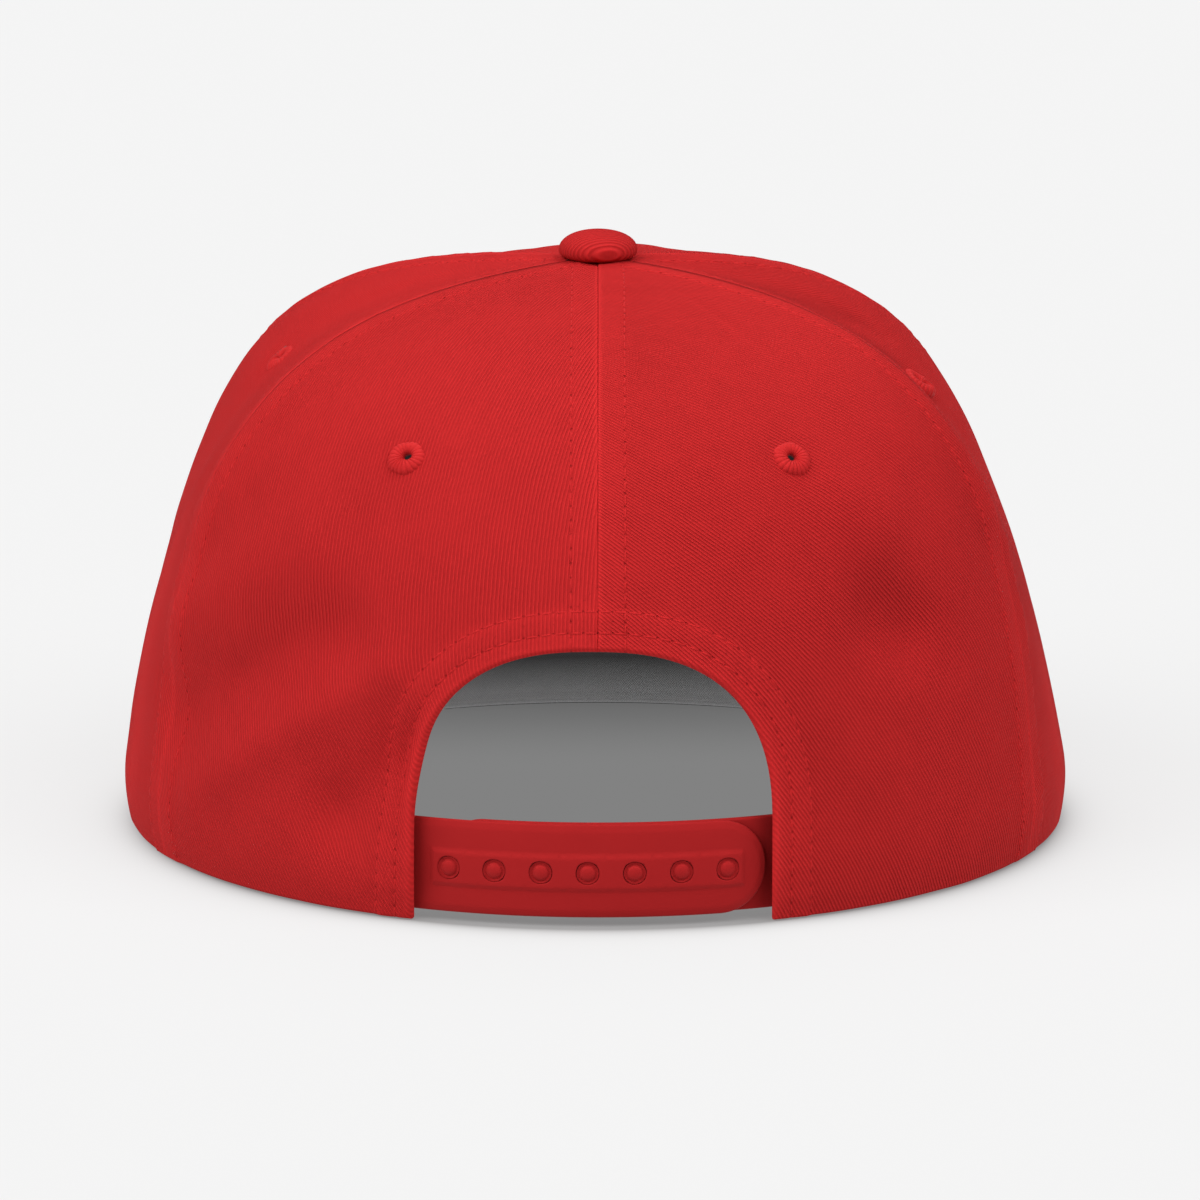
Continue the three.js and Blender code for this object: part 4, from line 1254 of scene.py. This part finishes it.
def make_twill_group():
    """Twill: parallel ribs, wandering a little, each broken into slanted floats, with fine fibres. Place is
    in metres with x across the ribs. Gives the height and the rib from 0 to 1, and the fibre."""
    inputs = {
        "Place": ("NodeSocketVector", None),
        "Rib Spacing": ("NodeSocketFloat", 0.75),
        "Float Length": ("NodeSocketFloat", 1.3),
        "Wander": ("NodeSocketFloat", 0.5),
    }
    tree, given, result = new_group("twill_weave", inputs, ("Height", "Rib", "Fibre"))
    place = node(tree, "ShaderNodeVectorMath", given["Place"], operation="SCALE")
    place.inputs["Scale"].default_value = 1 / MM
    xyz = node(tree, "ShaderNodeSeparateXYZ", place.outputs[0]).outputs
    drift = calc(tree, "SUBTRACT", noise(tree, place.outputs[0], 0.16), 0.5)
    across = calc(tree, "MULTIPLY_ADD", drift, given["Wander"], xyz[0])
    phase = calc(tree, "DIVIDE", across, given["Rib Spacing"])
    rib = calc(tree, "MULTIPLY_ADD", calc(tree, "SINE", calc(tree, "MULTIPLY", phase, 2 * np.pi)), 0.5, 0.5)
    shift = calc(tree, "MULTIPLY", calc(tree, "FLOOR", calc(tree, "ADD", phase, 0.25)), 0.382)
    run = calc(tree, "ADD", calc(tree, "DIVIDE", xyz[1], given["Float Length"]), shift)
    run = calc(tree, "MULTIPLY", run, 2 * np.pi)
    bead = calc(tree, "MULTIPLY_ADD", calc(tree, "SINE", run), 0.07, 0.93)
    patch = node(tree, "ShaderNodeMapRange", noise(tree, place.outputs[0], 0.09), 0.3, 0.7, 0.8, 1.15)
    bead = calc(tree, "MULTIPLY", bead, patch.outputs[0])
    fibre = noise(tree, place.outputs[0], 2.4, 3.0)
    rib = calc(tree, "MULTIPLY", rib, bead)
    height = calc(tree, "MULTIPLY_ADD", calc(tree, "SUBTRACT", fibre, 0.5), 0.25, rib)
    tree.links.new(height, result["Height"])
    tree.links.new(rib, result["Rib"])
    tree.links.new(fibre, result["Fibre"])


def make_needle_group():
    """Needle holes: a round mask wherever the row is at a whole number of stitches. Across and along a sewn
    row are in millimetres."""
    inputs = {
        "Across": ("NodeSocketFloat", NO_ROW),
        "Along": ("NodeSocketFloat", 0.0),
        "Pitch": ("NodeSocketFloat", 2.9),
        "Radius": ("NodeSocketFloat", 0.25),
    }
    tree, given, result = new_group("needle_holes", inputs, ("Hole",))
    turns = calc(tree, "DIVIDE", given["Along"], given["Pitch"])
    off = calc(tree, "SUBTRACT", turns, calc(tree, "ROUND", turns))
    off = calc(tree, "MULTIPLY", off, given["Pitch"])
    square = calc(tree, "MULTIPLY_ADD", off, off, calc(tree, "MULTIPLY", given["Across"], given["Across"]))
    share = calc(tree, "DIVIDE", calc(tree, "SQRT", square), given["Radius"])
    hole = node(tree, "ShaderNodeMapRange", share, 0.45, 1.3, 1.0, 0.0, interpolation_type="SMOOTHSTEP")
    tree.links.new(hole.outputs[0], result["Hole"])


def make_plain_weave_group():
    """Plain weave: two crossed sets of yarns as a product of two sines, with fibres. Place is in metres."""
    inputs = {
        "Place": ("NodeSocketVector", None),
        "Yarn Spacing": ("NodeSocketFloat", 0.6),
    }
    tree, given, result = new_group("plain_weave", inputs, ("Height", "Fibre"))
    place = node(tree, "ShaderNodeVectorMath", given["Place"], operation="SCALE")
    place.inputs["Scale"].default_value = 1 / MM
    xyz = node(tree, "ShaderNodeSeparateXYZ", place.outputs[0]).outputs
    rate = calc(tree, "DIVIDE", 2 * np.pi, given["Yarn Spacing"])
    warp, weft = (calc(tree, "SINE", calc(tree, "MULTIPLY", xyz[k], rate)) for k in (0, 1))
    fibre = noise(tree, place.outputs[0], 1.8, 3.0)
    cross = calc(tree, "MULTIPLY_ADD", calc(tree, "MULTIPLY", warp, weft), 0.5, 0.5)
    tree.links.new(calc(tree, "MULTIPLY_ADD", fibre, 0.5, cross), result["Height"])
    tree.links.new(fibre, result["Fibre"])


def make_tone_group():
    """Slow changes of tone over a piece, about 1, from two sizes of noise on its own coordinates."""
    inputs = {
        "Place": ("NodeSocketVector", None),
        "Amount": ("NodeSocketFloat", 0.05),
    }
    tree, given, result = new_group("cloth_tone", inputs, ("Tone",))
    broad = calc(tree, "SUBTRACT", noise(tree, given["Place"], 22.0), 0.5)
    close = calc(tree, "SUBTRACT", noise(tree, given["Place"], 210.0), 0.5)
    mixed = calc(tree, "MULTIPLY_ADD", close, 0.6, broad)
    tree.links.new(calc(tree, "MULTIPLY_ADD", mixed, given["Amount"], 1.0), result["Tone"])


def new_material(name, roughness, sheen=0.0, specular=0.5, tint=(1, 1, 1)):
    """A material with a Principled shader. Gives its node tree and the shader's inputs."""
    material = bpy.data.materials.new(name)
    material.use_nodes = True
    shader = material.node_tree.nodes["Principled BSDF"].inputs
    shader["Roughness"].default_value = roughness
    shader["Sheen Weight"].default_value = sheen
    shader["Sheen Roughness"].default_value = 0.5
    shader["Sheen Tint"].default_value = (*tint, 1)
    shader["Specular Tint"].default_value = (*tint, 1)
    shader["Specular IOR Level"].default_value = specular
    return material.node_tree, shader


def paint(tree, shader, colour, tone):
    """Feeds Base Color with a colour times a value that changes over the surface."""
    scaled = node(tree, "ShaderNodeVectorMath", tuple(colour), operation="SCALE")
    tree.links.new(tone, scaled.inputs["Scale"])
    tree.links.new(scaled.outputs[0], shader["Base Color"])


def raise_surface(tree, shader, height, depth):
    """Feeds Normal with a bump of a height from 0 to 1 that stands for a depth in millimetres."""
    bump = node(tree, "ShaderNodeBump")
    bump.inputs["Strength"].default_value = 1.0
    bump.inputs["Distance"].default_value = depth * MM
    tree.links.new(height, bump.inputs["Height"])
    tree.links.new(bump.outputs[0], shader["Normal"])


def attribute(tree, name):
    """A float attribute's value."""
    return node(tree, "ShaderNodeAttribute", attribute_name=name).outputs["Fac"]


def make_twill_material():
    """Red cotton twill with its ribs, which fade towards rounded edges, with painted shade between them,
    needle holes along the sewn rows with painted shade in them, painted sheen on the seam and hem allowances,
    lines of painted light and painted shade, painted shade beside the centre seam, and a slow change of tone."""
    cap = settings()
    tree, shader = new_material("twill", 0.86, sheen=0.03, specular=0.1, tint=cap.twill_colour)
    weave = use_group(tree, "twill_weave", Place=node(tree, "ShaderNodeUVMap", uv_map="weave").outputs[0],
                      Rib_Spacing=cap.rib_spacing / MM)
    needle = use_group(tree, "needle_holes", Across=attribute(tree, "row_across"),
                       Along=attribute(tree, "row_along"), Pitch=cap.stitch_pitch / MM)
    place = node(tree, "ShaderNodeTexCoord").outputs["Object"]
    tone = use_group(tree, "cloth_tone", Place=place, Amount=0.06)["Tone"]
    valley = calc(tree, "SUBTRACT", 1.0, weave["Rib"])
    # Painted shade between the ribs: the cloth is darker in their valleys.
    tone = calc(tree, "MULTIPLY", tone, calc(tree, "MULTIPLY_ADD", valley, -cap.rib_valley_shade, 1.0))
    grain = calc(tree, "MULTIPLY_ADD", calc(tree, "SUBTRACT", weave["Fibre"], 0.5), 0.16, 1.0)
    tone = calc(tree, "MULTIPLY", tone, grain)
    # Painted shade in the needle holes.
    tone = calc(tree, "MULTIPLY", tone, calc(tree, "MULTIPLY_ADD", needle["Hole"], -0.17, 1.0))
    # Painted light and shade: the painted sheen of the allowances and the lines of painted light and shade.
    tone = calc(tree, "MULTIPLY", tone, calc(tree, "MULTIPLY_ADD", attribute(tree, "painted_shading"), 0.07, 1.0))
    paint(tree, shader, cap.twill_colour, tone)
    kept = calc(tree, "MULTIPLY_ADD", attribute(tree, "round_over"), -ROUND_OVER_LOSS, 1.0)
    height = calc(tree, "SUBTRACT", weave["Height"], TWILL_MEAN_HEIGHT)
    height = calc(tree, "MULTIPLY_ADD", height, kept, TWILL_MEAN_HEIGHT)
    height = calc(tree, "MULTIPLY_ADD", needle["Hole"], -0.7, height)
    raise_surface(tree, shader, height, TWILL_DEPTH)
    rough = calc(tree, "MULTIPLY_ADD", weave["Fibre"], 0.12, 0.8)
    tree.links.new(rough, shader["Roughness"])


def make_thread_material():
    """Red stitching thread: a little sheen and the fine grain of its twist."""
    cap = settings()
    tree, shader = new_material("stitching", 0.62, sheen=0.06, specular=0.2, tint=cap.thread_colour)
    place = node(tree, "ShaderNodeTexCoord").outputs["Object"]
    tone = use_group(tree, "cloth_tone", Place=place, Amount=0.16)["Tone"]
    paint(tree, shader, cap.thread_colour, tone)
    raise_surface(tree, shader, noise(tree, place, 2600.0, 2.0), 0.06)


def make_plastic_material():
    """Red moulded plastic: smooth, with a faint orange-peel grain and a few rubbed patches."""
    cap = settings()
    tree, shader = new_material("snap_plastic", 0.42, specular=0.25, tint=cap.plastic_colour)
    place = node(tree, "ShaderNodeTexCoord").outputs["Object"]
    tone = use_group(tree, "cloth_tone", Place=place, Amount=0.1)["Tone"]
    paint(tree, shader, cap.plastic_colour, tone)
    raise_surface(tree, shader, noise(tree, place, 900.0, 2.0), 0.03)
    rubbed = calc(tree, "MULTIPLY_ADD", noise(tree, place, 130.0, 3.0), 0.22, 0.36)
    tree.links.new(rubbed, shader["Roughness"])


def make_plain_cloth_material(name, colour, spacing, roughness, uses_uv):
    """Plain-woven cloth in one colour. Where it reads the weave's own coordinates, it has painted light
    towards their zero, the sweatband's lower edge, painted shade further up, and painted shade in the fold at
    that edge."""
    tree, shader = new_material(name, roughness, sheen=0.1, specular=0.2)
    place = node(tree, "ShaderNodeTexCoord").outputs["Object"]
    woven = node(tree, "ShaderNodeUVMap", uv_map="weave").outputs[0] if uses_uv else place
    weave = use_group(tree, "plain_weave", Place=woven, Yarn_Spacing=spacing)
    tone = use_group(tree, "cloth_tone", Place=place, Amount=0.14)["Tone"]
    tone = calc(tree, "MULTIPLY", tone, calc(tree, "MULTIPLY_ADD", weave["Fibre"], 0.24, 0.88))
    if uses_uv:
        rise = node(tree, "ShaderNodeSeparateXYZ", woven).outputs["Y"]
        # Painted light towards the sweatband's lower edge, painted shade above it.
        painted_gradient = node(tree, "ShaderNodeMapRange", rise, 0.0, BAND_PAINTED_GRADIENT_HEIGHT * MM,
                    BAND_PAINTED_LIGHT_TONE, BAND_PAINTED_SHADE_TONE)
        # Painted shade in the fold at the sweatband's lower edge.
        fold = node(tree, "ShaderNodeMapRange", rise, 0.0, BAND_EDGE_SHADE_WIDTH * MM, BAND_EDGE_SHADE_TONE, 1.0)
        tone = calc(tree, "MULTIPLY", tone, calc(tree, "MULTIPLY", painted_gradient.outputs[0], fold.outputs[0]))
    paint(tree, shader, colour, tone)
    raise_surface(tree, shader, weave["Height"], 0.12)


def make_floor_material():
    """A pale, matt studio floor that gives off some light of its own. It gives off less under the crown,
    and beyond the rim the rest returns as 1 - exp(-distance / width). Under the crown it lights the
    sweatband a little more than it shows."""
    cap = settings()
    tree, shader = new_material("studio_floor", 0.95, specular=0.0)
    place = node(tree, "ShaderNodeTexCoord").outputs["Object"]
    tone = use_group(tree, "cloth_tone", Place=place, Amount=0.004)["Tone"]
    paint(tree, shader, cap.floor_colour, tone)
    reach = node(tree, "ShaderNodeVectorMath", place, tuple(AXIS), operation="DISTANCE").outputs["Value"]
    beyond = calc(tree, "MAXIMUM", calc(tree, "MULTIPLY_ADD", reach, 1 / (FLOOR_SHADE_WIDTH * MM),
                                        -RIM_RADIUS / FLOOR_SHADE_WIDTH), 0.0)
    uncovered = calc(tree, "SUBTRACT", 1.0, calc(tree, "EXPONENT", calc(tree, "MULTIPLY", beyond, -1.0)))
    depth = node(tree, "ShaderNodeSeparateXYZ", place).outputs["Y"]
    shaded = node(tree, "ShaderNodeMapRange", depth, -FLOOR_SHADE_FRONT * MM, 0.0, cap.shaded_glow_in_front,
                  cap.shaded_glow, interpolation_type="SMOOTHSTEP").outputs[0]
    glow = node(tree, "ShaderNodeMapRange", uncovered, 0.0, 1.0, shaded, cap.floor_glow).outputs[0]
    hidden = calc(tree, "SUBTRACT", 1.0, node(tree, "ShaderNodeLightPath").outputs["Is Camera Ray"])
    hidden = calc(tree, "MULTIPLY", hidden, calc(tree, "SUBTRACT", 1.0, uncovered))
    glow = calc(tree, "MULTIPLY_ADD", hidden, cap.glow_on_band, glow)
    tree.links.new(glow, shader["Emission Color"])
    shader["Emission Strength"].default_value = 1.0


def make_floor():
    """A flat floor, far wider than the camera sees."""
    corners = FLOOR_HALF_WIDTH * np.array([[-1.0, -1, 0], [1, -1, 0], [1, 1, 0], [-1, 1, 0]])
    made = new_object("floor", corners, np.array([[0, 1, 2, 3]]), [0], [bpy.data.materials["studio_floor"]])


def sun(name, toward, strength):
    """A soft distant light. toward points at the light."""
    light = bpy.data.lights.new(name, "SUN")
    light.energy = strength
    light.angle = np.radians(LIGHT_WIDTH)
    made = bpy.data.objects.new(name, light)
    made.rotation_euler = Vector(toward).to_track_quat("Z", "Y").to_euler()
    bpy.context.scene.collection.objects.link(made)


def make_lights():
    """An even sky, a soft light high on either side, and a weaker one from the front of the cap."""
    cap = settings()
    world = bpy.data.worlds.new("studio")
    world.use_nodes = True
    world.node_tree.nodes["Background"].inputs["Color"].default_value = (1, 1, 1, 1)
    world.node_tree.nodes["Background"].inputs["Strength"].default_value = cap.sky_strength
    bpy.context.scene.world = world
    bpy.context.scene.view_settings.view_transform = "Standard"
    sun("left_light", (0.61, 0.35, 0.71), cap.left_strength)
    sun("right_light", (-0.55, 0.34, 0.77), cap.right_strength)
    sun("front_light", (0, -0.5, 0.87), cap.front_strength)


def make_camera():
    """A long lens behind the cap, aimed a little above the middle of its rim."""
    cap = settings()
    camera = bpy.data.cameras.new("camera")
    camera.lens = cap.focal_length
    camera.sensor_width = SENSOR_WIDTH
    camera.clip_end = 100
    made = bpy.data.objects.new("camera", camera)
    bpy.context.scene.collection.objects.link(made)
    rise = cap.camera_height
    back = Vector((0, np.cos(rise), np.sin(rise)))
    up = Vector((0, -np.sin(rise), np.cos(rise)))
    rim = Vector(AXIS)
    made.location = rim + cap.camera_distance * back
    target = rim + AIM_ABOVE_RIM * MM * up - AIM_RIGHT_OF_RIM * MM * Vector((1, 0, 0))
    made.rotation_euler = (target - made.location).to_track_quat("-Z", "Y").to_euler()
    bpy.context.scene.camera = made


class CapSettings(bpy.types.PropertyGroup):
    """Sizes and colours of the cap and its stage."""

    rib_spacing: bpy.props.FloatProperty(
        name="Rib Spacing", description="Distance from one rib of the twill to the next",
        default=0.00075, min=0.0003, max=0.002, precision=5, subtype="DISTANCE", unit="LENGTH")
    # Painted shade between the twill's ribs.
    rib_valley_shade: bpy.props.FloatProperty(
        name="Rib Contrast", description="How much darker the cloth is between its ribs",
        default=0.24, min=0.0, max=1.0, subtype="FACTOR")
    stitch_pitch: bpy.props.FloatProperty(
        name="Stitch Pitch", description="Distance from one needle hole to the next",
        default=0.0029, min=0.001, max=0.006, precision=5, subtype="DISTANCE", unit="LENGTH")
    stitch_length: bpy.props.FloatProperty(
        name="Stitch Length", description="Length of each stitch that shows",
        default=0.0025, min=0.001, max=0.006, precision=5, subtype="DISTANCE", unit="LENGTH")
    thread_width: bpy.props.FloatProperty(
        name="Thread Width", description="Thickness of the stitching thread",
        default=0.00042, min=0.0002, max=0.001, precision=5, subtype="DISTANCE", unit="LENGTH")
    twill_colour: bpy.props.FloatVectorProperty(
        name="Twill Colour", description="Colour of the twill on top of its ribs",
        default=(0.5, 0.0207, 0.0216), min=0.0, max=1.0, subtype="COLOR")
    thread_colour: bpy.props.FloatVectorProperty(
        name="Thread Colour", description="Colour of the stitches and eyelets",
        default=(0.45, 0.0187, 0.0194), min=0.0, max=1.0, subtype="COLOR")
    plastic_colour: bpy.props.FloatVectorProperty(
        name="Plastic Colour", description="Colour of the snap straps",
        default=(0.333, 0.0148, 0.0156), min=0.0, max=1.0, subtype="COLOR")
    backing_colour: bpy.props.FloatVectorProperty(
        name="Backing Colour", description="Colour of the stiff backing inside the panels",
        default=(0.09, 0.09, 0.09), min=0.0, max=1.0, subtype="COLOR")
    band_colour: bpy.props.FloatVectorProperty(
        name="Sweatband Colour", description="Colour of the sweatband",
        default=(0.93, 0.93, 0.935), min=0.0, max=1.0, subtype="COLOR")
    floor_colour: bpy.props.FloatVectorProperty(
        name="Floor Colour", description="Colour of the studio floor",
        default=(0.12, 0.12, 0.12), min=0.0, max=1.0, subtype="COLOR")
    floor_glow: bpy.props.FloatProperty(
        name="Floor Glow", description="Light that the pale floor gives off by itself", default=0.72)
    shaded_glow: bpy.props.FloatProperty(
        name="Shaded Glow", description="The same light under the back of the crown", default=0.22)
    shaded_glow_in_front: bpy.props.FloatProperty(
        name="Shaded Glow in Front", description="The same light under the front of the crown", default=0.088)
    glow_on_band: bpy.props.FloatProperty(
        name="Glow on Band", description="More light, which doesn't show, from there to the sweatband",
        default=0.2, min=0.0, max=1.0)
    camera_height: bpy.props.FloatProperty(
        name="Camera Elevation", description="Angle of the camera above the floor",
        default=float(np.radians(14.27)), subtype="ANGLE", unit="ROTATION")
    camera_distance: bpy.props.FloatProperty(
        name="Camera Distance", description="From the camera to the centre of the crown's rim",
        default=1.8, subtype="DISTANCE", unit="LENGTH")
    focal_length: bpy.props.FloatProperty(
        name="Focal Length", description="Focal length on a sensor 36 mm wide, in millimetres",
        default=261.95)
    left_strength: bpy.props.FloatProperty(
        name="Left Light", description="Strength of the soft light on the camera's left", default=2.9)
    right_strength: bpy.props.FloatProperty(
        name="Right Light", description="Strength of the soft light on the camera's right", default=2.45)
    front_strength: bpy.props.FloatProperty(
        name="Front Light", description="Strength of the soft light over the cap's front", default=0.8)
    sky_strength: bpy.props.FloatProperty(
        name="Sky Strength", description="Strength of the even light from all round", default=0.1)


class CAP_OT_materials(bpy.types.Operator):
    """Make the twill, thread, plastic, backing, sweatband and floor materials"""

    bl_idname = "cap.materials"
    bl_label = "Materials"

    def execute(self, context):
        make_twill_group()
        make_needle_group()
        make_plain_weave_group()
        make_tone_group()
        make_twill_material()
        make_thread_material()
        make_plastic_material()
        cap = context.scene.cap_settings
        make_plain_cloth_material("backing_cloth", cap.backing_colour, 1.3, 0.9, False)
        make_plain_cloth_material("sweatband_cotton", cap.band_colour, 0.55, 0.88, True)
        make_floor_material()
        return {"FINISHED"}


class CAP_OT_crown(bpy.types.Operator):
    """Make the five cloth panels of the crown and the stitches along their seams and hem"""

    bl_idname = "cap.crown"
    bl_label = "Crown Panels"

    def execute(self, context):
        for panel in PANELS:
            rows = make_panel(panel)
            make_stitches(panel["node"] + "_stitches", rows, keep_out=PANEL_ROWS_END)
        return {"FINISHED"}


class CAP_OT_button(bpy.types.Operator):
    """Make the covered button on top of the crown"""

    bl_idname = "cap.button"
    bl_label = "Button"

    def execute(self, context):
        make_button()
        return {"FINISHED"}


class CAP_OT_eyelets(bpy.types.Operator):
    """Make the stitched eyelets"""

    bl_idname = "cap.eyelets"
    bl_label = "Eyelets"

    def execute(self, context):
        for index, eyelet in enumerate(EYELETS):
            make_eyelet(eyelet, index)
        return {"FINISHED"}


class CAP_OT_straps(bpy.types.Operator):
    """Make the two snap straps across the arch"""

    bl_idname = "cap.straps"
    bl_label = "Snap Straps"

    def execute(self, context):
        make_hole_strap()
        make_peg_strap()
        return {"FINISHED"}


class CAP_OT_sweatband(bpy.types.Operator):
    """Make the sweatband inside the rim"""

    bl_idname = "cap.sweatband"
    bl_label = "Sweatband"

    def execute(self, context):
        make_sweatband()
        return {"FINISHED"}


class CAP_OT_brim(bpy.types.Operator):
    """Make the flat brim and its stitches"""

    bl_idname = "cap.brim"
    bl_label = "Brim"

    def execute(self, context):
        make_brim()
        return {"FINISHED"}


class CAP_OT_stage(bpy.types.Operator):
    """Make the floor, the lights and the camera"""

    bl_idname = "cap.stage"
    bl_label = "Stage"

    def execute(self, context):
        make_floor()
        make_lights()
        make_camera()
        return {"FINISHED"}


class CAP_PT_sidebar(bpy.types.Panel):
    """The cap's settings and the operators that make its pieces"""

    bl_label = "Flat Bill Cap"
    bl_idname = "CAP_PT_sidebar"
    bl_space_type = "VIEW_3D"
    bl_region_type = "UI"
    bl_category = "Cap"

    def draw(self, context):
        for key in CapSettings.__annotations__:
            self.layout.prop(context.scene.cap_settings, key)
        for operator in OPERATORS:
            self.layout.operator(operator.bl_idname)


OPERATORS = (
    CAP_OT_materials,
    CAP_OT_stage,
    CAP_OT_crown,
    CAP_OT_button,
    CAP_OT_eyelets,
    CAP_OT_straps,
    CAP_OT_sweatband,
    CAP_OT_brim,
)
CLASSES = (CapSettings, *OPERATORS, CAP_PT_sidebar)


def register():
    for cls in CLASSES:
        bpy.utils.register_class(cls)
    bpy.types.Scene.cap_settings = bpy.props.PointerProperty(type=CapSettings)


def unregister():
    del bpy.types.Scene.cap_settings
    for cls in reversed(CLASSES):
        bpy.utils.unregister_class(cls)


def main():
    register()
    bpy.ops.cap.materials()
    bpy.ops.cap.stage()
    bpy.ops.cap.crown()
    bpy.ops.cap.button()
    bpy.ops.cap.eyelets()
    bpy.ops.cap.straps()
    bpy.ops.cap.sweatband()
    bpy.ops.cap.brim()


if __name__ == "__main__":
    main()
